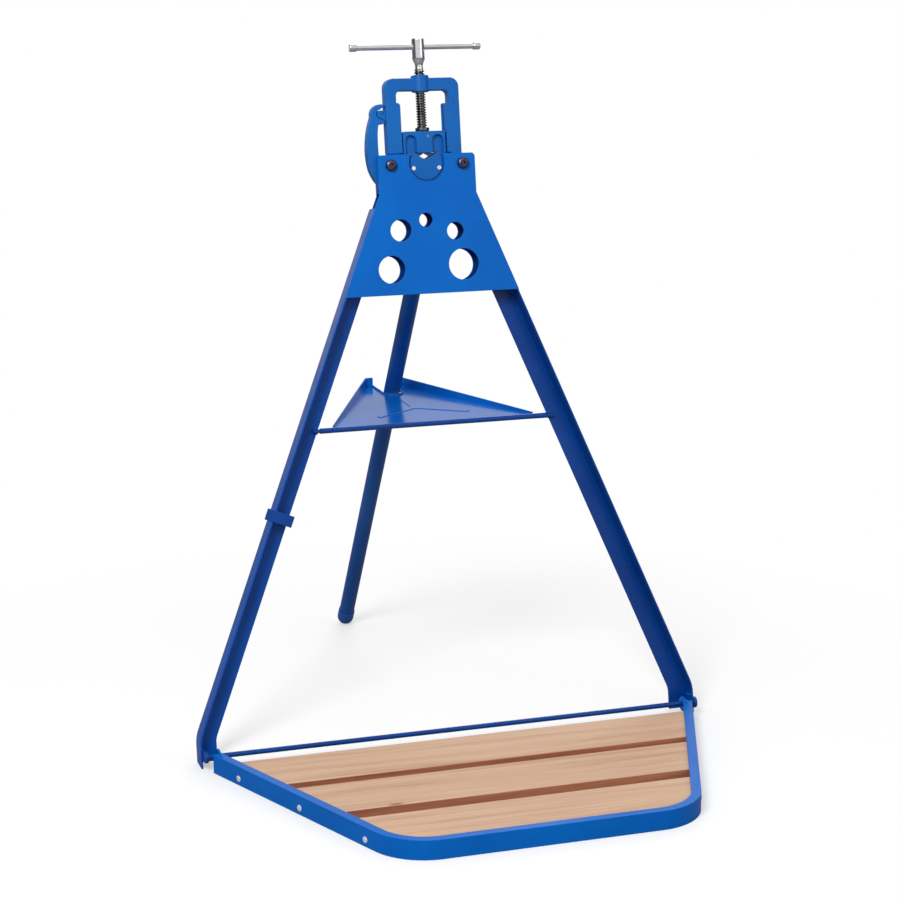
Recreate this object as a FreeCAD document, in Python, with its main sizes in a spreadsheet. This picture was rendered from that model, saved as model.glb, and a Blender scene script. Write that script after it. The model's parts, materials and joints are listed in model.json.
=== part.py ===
import FreeCAD, Part
import math
import os
import re
import Sketcher

# Portable pipe vise stand: two angle-iron front legs, one hinged tube leg, a pair of
# bending plates with a yoke vise between them, a folding tray and a folding platform.
# Millimetres.  X runs across the stand, Y to the back, Z up, floor at Z = 0.
# Three working frames are used:
#   "stand"  leans with the front legs: x across, y deep (t), z up along the legs
#   "floor"  level, origin where the front plane of the legs meets the floor
#   others   sit on a pivot

V = FreeCAD.Vector
doc = FreeCAD.newDocument("PipeViseStand")

SIZES = [
    ("lean_angle", 9.5), ("running_gap", 0.05), ("side_gap", 0.3), ("seat_gap", 0.2),
    # front legs, steel angle
    ("foot_half", 413), ("foot_bend_height", 46), ("foot_bend_radius", 60),
    ("angle_size", 32), ("angle_wall", 3), ("leg_into_plate", 137), ("below_floor", 30),
    # bending plates
    ("plate_wall", 3), ("plate_bottom", 711), ("plate_bottom_half", 143),
    ("notch_rise", 156), ("plate_tall", 218), ("plate_corner", 6),
    ("cutout_radius", 29), ("cutout_drop", 14),
    ("bend_one_x", -6), ("bend_one_rise", 115.5), ("bend_one_bore", 22),
    ("bend_two_x", -47.5), ("bend_two_rise", 100.5), ("bend_two_bore", 34.5),
    ("bend_three_x", 41.5), ("bend_three_rise", 96.5), ("bend_three_bore", 27.5),
    ("bend_four_x", -65.5), ("bend_four_rise", 40), ("bend_four_bore", 43.5),
    ("bend_five_x", 53), ("bend_five_rise", 44), ("bend_five_bore", 49.5),
    ("bolt_inset", 20.86), ("bolt_drop", 16), ("bolt_bore", 12), ("bolt_head", 18),
    ("bolt_head_tall", 7), ("nut_tall", 8),
    # vise base and lower jaw
    ("base_proud", 1), ("base_tall", 60), ("base_side_inset", 2.66), ("base_shoulder_rise", 24),
    ("base_left_cut", 11), ("eye_room", 1.8), ("base_edge_round", 5),
    ("jaw_half", 27), ("jaw_deep", 30), ("jaw_front_wall", 5), ("valley_depth", 8.6),
    ("jaw_lip_half", 18), ("jaw_flank", 30), ("jaw_screw_inset", 6), ("jaw_screw_rise", 7),
    ("jaw_screw_head", 7), ("jaw_screw_shank", 4), ("jaw_screw_length", 14),
    ("jaw_opening", 9.2), ("blade_wall", 6),
    # yoke
    ("yoke_outside", 1.7), ("yoke_leg_wide", 18), ("yoke_rise", 117.5), ("yoke_bridge", 19.5),
    ("yoke_wall", 20), ("yoke_corner", 14), ("yoke_plate_gap", 2),
    ("window_corner", 7), ("eye_radius", 15), ("boss_radius", 14.5),
    ("boss_below", 4), ("boss_above", 4.5), ("lug_proud", 8), ("lug_rise", 63),
    ("nose_radius", 6), ("lug_wall", 12),
    # latch arm
    ("latch_outside", 7.2), ("latch_rise", 13), ("latch_eye", 11), ("latch_bore", 8),
    ("latch_wall", 16), ("hook_gap", 1), ("hook_wall", 6), ("bow_out", 24.5),
    ("bow_rise", 68), ("latch_width", 19), ("hook_tip_angle", 98),
    ("hook_root_angle", 245),
    # jaw carriage
    ("carriage_lift", 10), ("carriage_tall", 25), ("carriage_wall", 16),
    ("prong_half", 12), ("prong_lift", 1.2), ("ear_deep", 6), ("guide_tall", 69),
    ("flange_beyond", 7.5), ("flange_wall", 4), ("recess_depth", 5), ("blade_in", 5),
    ("keep_pin_bore", 4), ("keep_pin_drop", 8), ("journal_radius", 6),
    ("journal_deep", 16), ("groove_tall", 5), ("groove_deep", 1.1),
    # screw and T-bar
    ("screw_radius", 8), ("thread_depth", 1.8), ("nut_play", 1.5), ("thread_above", 14.5),
    ("neck_radius", 6), ("neck_tall", 19),
    ("hub_radius", 10), ("hub_tall", 31), ("bar_radius", 4.5),
    ("bar_length", 214), ("bar_shift", -5), ("bar_end_radius", 6), ("bar_end_length", 12),
    ("collar_lift", 0.5), ("collar_tall", 5), ("collar_wide", 3),
    # hinged rear leg
    ("pivot_rise", 69), ("leg_pivot_back", 24.5), ("leg_spread", 32.2),
    ("tube_radius", 13.45), ("tube_wall", 2.6), ("tube_stop_gap", 0.3), ("leg_pin_bore", 10),
    ("bracket_wall", 4), ("bracket_gap", 0.75), ("bracket_half_tall", 22),
    ("bracket_ear", 12), ("leg_pin_head", 16), ("leg_pin_head_tall", 4),
    ("cap_wall", 1.2), ("cap_length", 16),
    # tray
    ("tray_drop", 205.3), ("tray_rod_radius", 4), ("spacer_long", 19.7), ("rod_lap", 9),
    ("tray_sheet", 1.5), ("tray_floor_rise", 2.5), ("tray_rim", 15), ("tray_length", 299),
    ("horn_wide", 13), ("slot_half", 16), ("slot_depth", 217), ("slot_corner", 15.5),
    ("slot_rim", 3), ("front_rim", 2.2), ("roll_wall", 1.75), ("spacer_wall", 1.95),
    ("rib_rise", 1), ("rib_width", 9), ("rib_back_gap", 29),
    ("rib_fork", 106), ("rib_arm_x", 78), ("rib_arm_y", 57),
    # platform
    ("platform_rod_z", 20.5), ("platform_rod_front", 13.6), ("platform_rod_radius", 4),
    ("rail_tall", 30), ("rail_width", 15), ("rail_wall", 4), ("platform_reach", 444.8),
    ("rail_inset", 5.3), ("rail_corner", 90), ("rail_rear_gap", 21),
    ("plank_play", 0.25), ("plank_gap", 0.5), ("plank_back_near", 52.6),
    ("plank_width", 110.8), ("plank_space_back", 20.2), ("plank_space_front", 28),
    ("ear_wall", 4), ("ear_in", 17.7), ("ear_round", 13), ("ear_peak", 15.5),
    ("ear_reach", 44), ("lug_thick", 5), ("hinge_lug_radius", 9), ("hinge_lug_depth", 22),
    ("plank_screw_z", 11), ("plank_screw_head", 4),
    ("plank_screw_cap", 2), ("plank_screw_shank", 2.2), ("plank_screw_length", 26),
    # bracket that boxes the left leg
    ("clip_drop", 124.5), ("clip_width", 18), ("clip_wall", 3), ("clip_overhang", 12.5),
]

LAYOUT = [
    ("lean_sin", "sin(lean_angle * 1 deg)"),
    ("lean_cos", "cos(lean_angle * 1 deg)"),
    # heights along the leaning frame
    ("leg_top", "plate_bottom + leg_into_plate"),
    ("notch_height", "plate_bottom + notch_rise"),
    ("plate_top", "plate_bottom + plate_tall"),
    ("cutout_height", "plate_top - cutout_drop"),
    ("bend_one_z", "plate_bottom + bend_one_rise"),
    ("bend_two_z", "plate_bottom + bend_two_rise"),
    ("bend_three_z", "plate_bottom + bend_three_rise"),
    ("bend_four_z", "plate_bottom + bend_four_rise"),
    ("bend_five_z", "plate_bottom + bend_five_rise"),
    ("bolt_height", "plate_top - bolt_drop"),
    ("base_top", "plate_top + base_proud"),
    ("base_bottom", "base_top - base_tall"),
    ("base_shoulder", "base_bottom + base_shoulder_rise"),
    ("jaw_bottom", "base_top - jaw_deep"),
    ("jaw_apex", "base_top - valley_depth"),
    ("jaw_screw_z", "jaw_bottom + jaw_screw_rise"),
    ("yoke_top", "base_top + yoke_rise"),
    ("yoke_window_top", "yoke_top - yoke_bridge"),
    ("lug_height", "base_top + lug_rise"),
    ("latch_pivot_z", "base_bottom + latch_rise"),
    ("latch_bow_height", "latch_pivot_z + bow_rise"),
    ("carriage_bottom", "base_top + carriage_lift"),
    ("carriage_top", "carriage_bottom + carriage_tall"),
    ("prong_bottom", "base_top + prong_lift"),
    ("ear_top", "carriage_bottom + guide_tall"),
    ("blade_top", "carriage_bottom + blade_in"),
    ("keep_pin_z", "carriage_top - keep_pin_drop"),
    ("journal_bottom", "carriage_top - journal_deep"),
    ("thread_top", "yoke_top + thread_above"),
    ("neck_top", "thread_top + neck_tall"),
    ("hub_top", "neck_top + hub_tall"),
    ("bar_height", "neck_top + hub_tall / 2"),
    ("collar_bottom", "carriage_top + collar_lift"),
    ("leg_pivot_z", "plate_bottom + pivot_rise"),
    ("tray_rod_z", "plate_bottom - tray_drop"),
    ("clip_height", "tray_rod_z - clip_drop"),
    # widths and depths
    ("leg_slope", "(foot_half - plate_bottom_half) / (plate_bottom - foot_bend_height)"),
    ("leg_angle", "atan(leg_slope) / 1 deg"),
    ("leg_sin", "sin(leg_angle * 1 deg)"),
    ("leg_cos", "cos(leg_angle * 1 deg)"),
    ("leg_top_half", "foot_half - leg_slope * (leg_top - foot_bend_height)"),
    ("notch_half", "plate_bottom_half - leg_slope * (notch_height - plate_bottom)"),
    ("flange_run", "angle_wall / leg_cos"),
    ("plate_inset", "flange_run + seat_gap"),
    ("slot_wide", "angle_size - 2 * angle_wall"),
    ("back_plate_t", "angle_size - angle_wall - plate_wall"),
    ("bolt_half", "notch_half - bolt_inset"),
    ("base_half", "notch_half - base_side_inset"),
    ("base_left_block", "base_half - base_left_cut"),
    ("yoke_half", "bolt_half + yoke_outside"),
    ("yoke_inner_half", "yoke_half - yoke_leg_wide"),
    ("base_right_block", "bolt_half - eye_radius - eye_room"),
    ("jaw_screw_x", "jaw_half - jaw_screw_inset"),
    ("lug_reach", "yoke_half + lug_proud"),
    ("latch_pivot_x", "-(bolt_half + latch_outside)"),
    ("latch_bow", "lug_reach + bow_out"),
    ("ear_inner", "yoke_inner_half - ear_deep"),
    ("flange_half", "yoke_inner_half + flange_beyond"),
    ("keep_pin_x", "journal_radius - groove_deep + keep_pin_bore / 2 + 0.1"),
    ("mid_t", "yoke_plate_gap + yoke_wall / 2"),
    ("jaw_rise", "tan(jaw_flank * 1 deg)"),
    ("jaw_lip", "jaw_apex + jaw_rise * jaw_lip_half"),
    ("blade_apex", "jaw_apex + jaw_opening"),
    ("blade_low", "blade_apex - jaw_rise * jaw_lip_half"),
    ("thread_radius", "screw_radius - thread_depth"),
    ("collar_radius", "screw_radius + collar_wide"),
    # rear leg
    ("leg_pivot_t", "angle_size - angle_wall + leg_pivot_back"),
    ("spread_sin", "sin(leg_spread * 1 deg)"),
    ("spread_cos", "cos(leg_spread * 1 deg)"),
    ("swing_sin", "sin((lean_angle + leg_spread) * 1 deg)"),
    ("swing_cos", "cos((lean_angle + leg_spread) * 1 deg)"),
    ("tube_above", "(leg_pivot_back - bracket_wall - tube_stop_gap - tube_radius * swing_cos)"
     " / swing_sin"),
    ("pivot_z", "leg_pivot_z * lean_cos - leg_pivot_t * lean_sin"),
    ("pivot_ahead", "leg_pivot_z * lean_sin + leg_pivot_t * lean_cos"),
    ("cap_radius", "tube_radius + running_gap + cap_wall"),
    ("cap_round", "cap_radius - 1"),
    ("cap_drop", "cap_round + (cap_radius - cap_round) * (spread_cos + spread_sin)"),
    ("leg_length", "(pivot_z - cap_drop) / spread_cos"),
    ("rear_reach", "pivot_ahead + leg_length * spread_sin + cap_drop"),
    ("frame_y", "(platform_reach - rear_reach) / 2"),
    ("pivot_y", "frame_y + pivot_ahead"),
    # tray
    ("tray_rod_back", "angle_size - angle_wall - tray_rod_radius"),
    ("rod_y", "frame_y + tray_rod_z * lean_sin + tray_rod_back * lean_cos"),
    ("rod_z", "tray_rod_z * lean_cos - tray_rod_back * lean_sin"),
    ("leg_at_tray", "foot_half - leg_slope * (tray_rod_z - foot_bend_height)"),
    ("spacer_outer", "leg_at_tray - angle_size / leg_cos - 2.6"),
    ("tray_rod_half", "spacer_outer + rod_lap"),
    ("tray_half", "spacer_outer - spacer_long - side_gap"),
    ("horn_half", "slot_half + horn_wide"),
    ("rib_back", "slot_depth - rib_back_gap"),
    ("roll_radius", "tray_rod_radius + running_gap + roll_wall"),
    ("spacer_radius", "tray_rod_radius + running_gap + spacer_wall"),
    # platform
    ("prod_y", "platform_rod_z * lean_sin - platform_rod_front * lean_cos"),
    ("prod_z", "platform_rod_z * lean_cos + platform_rod_front * lean_sin"),
    ("platform_slope", "leg_slope"),
    ("platform_angle", "leg_angle"),
    ("platform_half", "foot_half - rail_inset"),
    ("web_run", "rail_wall / cos(platform_angle * 1 deg)"),
    ("plank_edge", "platform_half - web_run - plank_gap"),
    ("rail_front_half", "platform_half - platform_slope * platform_reach"),
    ("rail_rear_half", "platform_half - platform_slope * rail_rear_gap"),
    ("ear_inside", "platform_half - ear_in - ear_wall"),
    ("hinge_lug_half", "foot_half - angle_wall"),
    ("plank_wall", "rail_tall - 2 * rail_wall - 2 * plank_play"),
    ("plank_z", "rail_wall + plank_play"),
    ("plank_middle_near", "plank_back_near + plank_width + plank_space_back"),
    ("plank_front_near", "plank_middle_near + plank_width + plank_space_front"),
    ("plank_front_gap", "platform_reach - rail_wall - plank_front_near - plank_width"),
    ("plank_corner", "rail_corner - rail_wall - plank_front_gap - plank_gap"),
    ("screw_back_near", "plank_back_near + plank_width * 0.28"),
    ("screw_middle_near", "plank_middle_near + plank_width * 0.38"),
    ("screw_front_near", "plank_front_near + plank_width * 0.42"),
]

SHEET = {}
sizes = doc.addObject("Spreadsheet::Sheet", "Sizes")
for row, (alias, number) in enumerate(SIZES, 1):
    sizes.set("A%d" % row, alias)
    sizes.set("B%d" % row, str(number))
    sizes.setAlias("B%d" % row, alias)
    SHEET[alias] = "Sizes." + alias


def ex(text):
    """Expression text with each named size written with its sheet."""
    return re.sub(r"[a-z][a-z0-9_]*", lambda m: SHEET.get(m.group(0), m.group(0)), str(text))


layout = doc.addObject("Spreadsheet::Sheet", "Layout")
for row, (alias, formula) in enumerate(LAYOUT, 1):
    text = re.sub(r"[a-z][a-z0-9_]*",
                  lambda m: SHEET.get(m.group(0), m.group(0)).replace("Layout.", ""), formula)
    layout.set("A%d" % row, alias)
    layout.set("B%d" % row, "=" + text)
    layout.setAlias("B%d" % row, alias)
    SHEET[alias] = "Layout." + alias
doc.recompute()


def num(text):
    """Present number of an expression."""
    got = sizes.evalExpression(ex(text))
    return float(getattr(got, "Value", got))


def plane(body, role):
    return [f for f in body.Origin.OriginFeatures if f.Role == role][0]


def new_body(name, frame="stand"):
    """PartDesign body standing in one of the working frames."""
    body = doc.addObject("PartDesign::Body", name)
    place(body, frame)
    return body


def place(thing, frame):
    turn = {"stand": -9.5, "leg": 32.2}.get(frame, 0.0)
    thing.Placement = FreeCAD.Placement(V(0, 0, 0), FreeCAD.Rotation(V(1, 0, 0), turn))
    if frame == "stand":
        thing.setExpression("Placement.Base.y", ex("frame_y"))
        thing.setExpression("Placement.Rotation.Angle", ex("-lean_angle"))
    if frame == "floor":
        thing.setExpression("Placement.Base.y", ex("frame_y"))
    if frame == "tray":
        thing.setExpression("Placement.Base.y", ex("rod_y"))
        thing.setExpression("Placement.Base.z", ex("rod_z"))
    if frame == "leg":
        thing.setExpression("Placement.Base.y", ex("pivot_y"))
        thing.setExpression("Placement.Base.z", ex("pivot_z"))
        thing.setExpression("Placement.Rotation.Angle", ex("leg_spread"))


def sketch(body, name, role, offset="0"):
    """Sketch on an origin plane of the body, moved along X, Y or Z by the offset."""
    sk = body.newObject("Sketcher::SketchObject", name)
    sk.AttachmentSupport = [(plane(body, role), "")]
    sk.MapMode = "FlatFace"
    sign = "-" if role == "XZ_Plane" else ""
    sk.setExpression("AttachmentOffset.Base.z", ex("%s(%s)" % (sign, offset)))
    return sk


def fix(sk, index, point, x, y):
    """Hold one sketch point at named distances from the origin."""
    for kind, text in (("DistanceX", x), ("DistanceY", y)):
        at = sk.addConstraint(Sketcher.Constraint(kind, -1, 1, index, point, num(text)))
        sk.setExpression("Constraints[%d]" % at, ex(text))


def circle(sk, x, y, radius):
    geo = sk.addGeometry(Part.Circle(V(num(x), num(y), 0), V(0, 0, 1), num(radius)), False)
    fix(sk, geo, 3, x, y)
    at = sk.addConstraint(Sketcher.Constraint("Radius", geo, num(radius)))
    sk.setExpression("Constraints[%d]" % at, ex(radius))


def outline(sk, points, closed=True):
    """Line string through (x, y) or (x, y, corner radius), all given as expressions."""
    xy = [V(num(p[0]), num(p[1]), 0) for p in points]
    count = len(points)
    last = count if closed else count - 1
    rounded = [i for i in range(count)
               if len(points[i]) > 2 and (closed or 0 < i < count - 1)]
    start = {}
    end = {}
    arcs = {}
    for i in range(count):
        start[i] = xy[i]
        end[i] = xy[i]
    for i in rounded:
        radius = num(points[i][2])
        back = (xy[i - 1] - xy[i]).normalize()
        ahead = (xy[(i + 1) % count] - xy[i]).normalize()
        half = back.getAngle(ahead) / 2
        end[i] = xy[i] + back * (radius / math.tan(half))
        start[i] = xy[i] + ahead * (radius / math.tan(half))
        bisect = (back + ahead).normalize()
        centre = xy[i] + bisect * (radius / math.sin(half))
        mid = centre - bisect * radius
        arcs[i] = (end[i], mid, start[i], centre)
    lines = {}
    for i in range(last):
        j = (i + 1) % count
        lines[i] = sk.addGeometry(Part.LineSegment(start[i], end[j]), False)
    for i in range(count):
        before = lines.get((i - 1) % count)
        after = lines.get(i)
        if i in rounded:
            arc = Part.Arc(arcs[i][0], arcs[i][1], arcs[i][2])
            geo = sk.addGeometry(arc, False)
            radius_end = sk.getPoint(geo, 1)
            first, second = (1, 2) if radius_end.distanceToPoint(arcs[i][0]) < 1e-6 else (2, 1)
            sk.addConstraint(Sketcher.Constraint("Tangent", before, 2, geo, first))
            sk.addConstraint(Sketcher.Constraint("Tangent", after, 1, geo, second))
            at = sk.addConstraint(Sketcher.Constraint("Radius", geo, num(points[i][2])))
            sk.setExpression("Constraints[%d]" % at, ex(points[i][2]))
            corner = sk.addGeometry(Part.Point(xy[i]), True)
            fix(sk, corner, 1, points[i][0], points[i][1])
            sk.addConstraint(Sketcher.Constraint("PointOnObject", corner, 1, before))
            sk.addConstraint(Sketcher.Constraint("PointOnObject", corner, 1, after))
        elif closed or 0 < i < count - 1:
            sk.addConstraint(Sketcher.Constraint("Coincident", before, 2, after, 1))
            fix(sk, after, 1, points[i][0], points[i][1])
        elif i == 0:
            fix(sk, after, 1, points[i][0], points[i][1])
        else:
            fix(sk, before, 2, points[i][0], points[i][1])


def grow(body, name, sk, length, reverse=False, both=False):
    pad = body.newObject("PartDesign::Pad", name)
    pad.Profile = sk
    pad.setExpression("Length", ex(length))
    pad.Reversed = reverse
    pad.Midplane = both
    return pad


def sink(body, name, sk, length, reverse=False, both=False):
    pocket = body.newObject("PartDesign::Pocket", name)
    pocket.Profile = sk
    pocket.setExpression("Length", ex(length))
    pocket.Reversed = reverse
    pocket.Midplane = both
    return pocket


def slab(body, name, points, front, depth):
    """Plate with the given face outline, from depth `front` to `front + depth`."""
    sk = sketch(body, name + "_sketch", "XZ_Plane", front)
    outline(sk, points)
    return grow(body, name, sk, depth, reverse=True)


def disc(body, name, x, z, radius, front, depth):
    sk = sketch(body, name + "_sketch", "XZ_Plane", front)
    circle(sk, x, z, radius)
    return grow(body, name, sk, depth, reverse=True)


def window(body, name, points, front, depth):
    sk = sketch(body, name + "_sketch", "XZ_Plane", front)
    outline(sk, points)
    return sink(body, name, sk, depth)


def bore(body, name, spots, front, depth):
    """Round holes along the depth: spots are (x, z, radius)."""
    sk = sketch(body, name + "_sketch", "XZ_Plane", front)
    for x, z, radius in spots:
        circle(sk, x, z, radius)
    return sink(body, name, sk, depth)


def cross_bore(body, name, y, z, radius, width):
    """Round hole along X."""
    sk = sketch(body, name + "_sketch", "YZ_Plane")
    circle(sk, y, z, radius)
    return sink(body, name, sk, width, both=True)


def turned(body, name, points, offset="0"):
    """Round piece about the body's Z axis: points are (radius, z)."""
    sk = sketch(body, name + "_sketch", "XZ_Plane", offset)
    outline(sk, points)
    spin = body.newObject("PartDesign::Revolution", name)
    spin.Profile = sk
    spin.ReferenceAxis = (sk, ["V_Axis"])
    spin.Angle = 360
    return spin


def mirrored(name, source):
    twin = doc.addObject("Part::Mirroring", name)
    twin.Source = source
    twin.Normal = V(1, 0, 0)
    twin.Base = V(0, 0, 0)
    return twin


def cut(name, base, tool):
    out = doc.addObject("Part::Cut", name)
    out.Base = base
    out.Tool = tool
    return out


NODES = {}


def node(name, thing):
    thing.Label = name
    NODES[name] = thing
    return thing


# ---------------------------------------------------------------- front legs
leg = new_body("leg_blank")
path = sketch(leg, "leg_path", "XZ_Plane")
outline(path, [("-foot_half", "-below_floor"),
               ("-foot_half", "foot_bend_height", "foot_bend_radius"),
               ("-leg_top_half", "leg_top")], closed=False)
angle = sketch(leg, "leg_angle_section", "XY_Plane", "-below_floor")
outline(angle, [("-foot_half", "0"), ("-foot_half + angle_wall", "0"),
                ("-foot_half + angle_wall", "angle_size - angle_wall"),
                ("-foot_half + angle_size", "angle_size - angle_wall"),
                ("-foot_half + angle_size", "angle_size"), ("-foot_half", "angle_size")])
pipe = leg.newObject("PartDesign::AdditivePipe", "leg_sweep")
pipe.Profile = angle
pipe.Spine = (path, ["Edge1", "Edge2", "Edge3"])
ground = doc.addObject("Part::Box", "ground_box")
ground.setExpression("Length", ex("3 * foot_half"))
ground.setExpression("Width", ex("6 * angle_size"))
ground.setExpression("Height", ex("3 * below_floor"))
ground.setExpression("Placement.Base.x", ex("-1.5 * foot_half"))
ground.setExpression("Placement.Base.y", ex("frame_y - 3 * angle_size"))
ground.setExpression("Placement.Base.z", ex("-3 * below_floor"))
left_leg = node("left_leg", cut("left_leg_cut", leg, ground))
node("right_leg", mirrored("right_leg_twin", left_leg))


# ------------------------------------------------------------- bending plates
def bending_plate(name, front, inset):
    body = new_body(name)
    low = "(plate_bottom_half - %s)" % inset
    neck = "(notch_half - %s)" % inset
    slab(body, name + "_blank",
         [("-" + low, "plate_bottom"), (low, "plate_bottom"), (neck, "notch_height"),
          (neck, "plate_top", "plate_corner"), ("-" + neck, "plate_top", "plate_corner"),
          ("-" + neck, "notch_height")], front, "plate_wall")
    bends = [(w + "_x", w + "_z", w + "_bore / 2")
             for w in ("bend_one", "bend_two", "bend_three", "bend_four", "bend_five")]
    bore(body, name + "_bending_holes", bends, front, "plate_wall")
    bore(body, name + "_bolt_holes",
         [("-bolt_half", "bolt_height", "bolt_bore / 2 + running_gap"),
          ("bolt_half", "bolt_height", "bolt_bore / 2 + running_gap")], front, "plate_wall")
    bore(body, name + "_cutout", [("0", "cutout_height", "cutout_radius")], front, "plate_wall")
    return node(name, body)


bending_plate("front_plate", "-plate_wall", "0")
bending_plate("rear_plate", "back_plate_t", "plate_inset")

# ------------------------------------------------------------------ vise base
base = new_body("vise_base")
slab(base, "base_block",
     [("-base_half", "base_bottom"), ("base_half", "base_bottom"),
      ("base_half", "base_shoulder", "base_edge_round"),
      ("base_right_block", "base_shoulder", "base_edge_round"),
      ("base_right_block", "base_top", "base_edge_round"),
      ("-base_left_block", "base_top", "base_edge_round"),
      ("-base_left_block", "base_shoulder", "base_edge_round"),
      ("-base_half", "base_shoulder", "base_edge_round")], "0", "slot_wide")
window(base, "latch_slot",
       [("-base_half - 2", "base_bottom - 2"), ("-base_right_block - 8", "base_bottom - 2"),
        ("-base_right_block - 8", "latch_pivot_z + latch_eye + 8"),
        ("-base_half - 2", "latch_pivot_z + latch_eye + 8")],
       "mid_t + 1 - latch_wall / 2 - side_gap", "latch_wall + 2 * side_gap")
bore(base, "latch_pin_hole", [("latch_pivot_x", "latch_pivot_z", "latch_bore / 2")],
     "0", "slot_wide")
bore(base, "base_bolt_hole", [("-bolt_half", "bolt_height", "bolt_bore / 2 + running_gap")],
     "0", "slot_wide")
window(base, "jaw_seat",
       [("-jaw_half - running_gap", "jaw_bottom"), ("jaw_half + running_gap", "jaw_bottom"),
        ("jaw_half + running_gap", "base_top + 2"), ("-jaw_half - running_gap", "base_top + 2")],
       "jaw_front_wall", "slot_wide - 2 * jaw_front_wall")
window(base, "base_valley",
       [("0", "jaw_apex - 1.5"), ("jaw_lip_half + 8", "jaw_apex - 1.5 + jaw_rise * (jaw_lip_half + 8)"),
        ("-jaw_lip_half - 8", "jaw_apex - 1.5 + jaw_rise * (jaw_lip_half + 8)")],
       "0", "slot_wide")
bore(base, "jaw_screw_holes", [("-jaw_screw_x", "jaw_screw_z", "jaw_screw_shank / 2"),
                               ("jaw_screw_x", "jaw_screw_z", "jaw_screw_shank / 2")],
     "0", "jaw_front_wall")
node("vise_base", base)

jaw = new_body("lower_jaw")
slab(jaw, "lower_jaw_block",
     [("-jaw_half", "jaw_bottom"), ("jaw_half", "jaw_bottom"), ("jaw_half", "jaw_lip"),
      ("jaw_lip_half", "jaw_lip"), ("0", "jaw_apex"), ("-jaw_lip_half", "jaw_lip"),
      ("-jaw_half", "jaw_lip")],
     "jaw_front_wall + running_gap", "slot_wide - 2 * jaw_front_wall - 2 * running_gap")
window(jaw, "blade_slot",
       [("-jaw_half - 1", "blade_low - 1"), ("jaw_half + 1", "blade_low - 1"),
        ("jaw_half + 1", "jaw_lip + 1"), ("-jaw_half - 1", "jaw_lip + 1")],
       "mid_t - blade_wall / 2 - side_gap", "blade_wall + 2 * side_gap")
bore(jaw, "jaw_taps", [("-jaw_screw_x", "jaw_screw_z", "jaw_screw_shank / 2"),
                       ("jaw_screw_x", "jaw_screw_z", "jaw_screw_shank / 2")],
     "jaw_front_wall", "jaw_screw_length - jaw_front_wall + 1")
node("lower_jaw", jaw)


def bolt(name, x, z, head, head_front, head_tall, shank, length, frame="stand"):
    """Headed pin along the depth; the head sits in front of `head_front`."""
    body = new_body(name, frame)
    disc(body, name + "_shank", x, z, shank, head_front, length)
    disc(body, name + "_head", x, z, head, "%s - %s" % (head_front, head_tall), head_tall)
    return node(name, body)


def hexagon(name, x, z, across, front, tall, hole_radius):
    body = new_body(name)
    half = "(%s / 2)" % across
    wide = "(%s / 2 / cos(30 deg))" % across
    slab(body, name + "_blank",
         [(x + " + " + wide, z), (x + " + %s / 2" % wide, z + " + " + half),
          (x + " - %s / 2" % wide, z + " + " + half), (x + " - " + wide, z),
          (x + " - %s / 2" % wide, z + " - " + half),
          (x + " + %s / 2" % wide, z + " - " + half)], front, tall)
    bore(body, name + "_thread", [(x, z, hole_radius)], front, tall)
    return node(name, body)


for side, sign in (("left", "-"), ("right", "")):
    bolt("jaw_screw_" + side, sign + "jaw_screw_x", "jaw_screw_z", "jaw_screw_head / 2",
         "0", "2", "jaw_screw_shank / 2", "jaw_screw_length")
bolt("base_bolt", "-bolt_half", "bolt_height", "bolt_head / 2", "-plate_wall",
     "bolt_head_tall", "bolt_bore / 2", "angle_size + nut_tall + 2")
bolt("yoke_pin", "bolt_half", "bolt_height", "bolt_head / 2", "-plate_wall",
     "bolt_head_tall", "bolt_bore / 2", "angle_size + nut_tall + 2")
hexagon("base_nut", "-bolt_half", "bolt_height", "bolt_head", "angle_size - angle_wall",
        "nut_tall", "bolt_bore / 2")
hexagon("yoke_nut", "bolt_half", "bolt_height", "bolt_head", "angle_size - angle_wall",
        "nut_tall", "bolt_bore / 2")
pin = new_body("latch_pin")
disc(pin, "latch_pin_rod", "latch_pivot_x", "latch_pivot_z", "latch_bore / 2", "0", "slot_wide")
node("latch_pin", pin)

# ----------------------------------------------------------------------- yoke
yoke = new_body("yoke")
foot = "base_top + seat_gap"
slab(yoke, "yoke_arch",
     [("-yoke_half", foot), ("-yoke_half", "yoke_top", "yoke_corner"),
      ("yoke_half", "yoke_top", "yoke_corner"), ("yoke_half", "bolt_height"),
      ("yoke_inner_half + 1.5", "bolt_height"), ("yoke_inner_half", foot),
      ("yoke_inner_half", "yoke_window_top", "window_corner"),
      ("-yoke_inner_half", "yoke_window_top", "window_corner"),
      ("-yoke_inner_half", foot)], "mid_t - yoke_wall / 2", "yoke_wall")
disc(yoke, "yoke_eye", "bolt_half", "bolt_height", "eye_radius",
     "mid_t - yoke_wall / 2", "yoke_wall")
boss = sketch(yoke, "yoke_boss_sketch", "XY_Plane", "yoke_window_top - boss_below")
circle(boss, "0", "mid_t", "boss_radius")
grow(yoke, "yoke_boss", boss, "yoke_top - yoke_window_top + boss_below + boss_above")
slab(yoke, "yoke_lug",
     [("-yoke_half + 2", "lug_height - nose_radius - 6"), ("-yoke_half + 2", "lug_height + nose_radius"),
      ("-lug_reach", "lug_height + nose_radius"), ("-lug_reach", "lug_height - nose_radius")],
     "mid_t - lug_wall / 2", "lug_wall")
disc(yoke, "yoke_nose", "-lug_reach", "lug_height", "nose_radius",
     "mid_t - lug_wall / 2", "lug_wall")
bore(yoke, "yoke_pin_bore", [("bolt_half", "bolt_height", "bolt_bore / 2 + running_gap")],
     "mid_t - yoke_wall / 2", "yoke_wall")
tap = sketch(yoke, "yoke_screw_bore_sketch", "XY_Plane", "yoke_top + 2 * boss_above")
circle(tap, "0", "mid_t", "screw_radius + nut_play")
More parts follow.
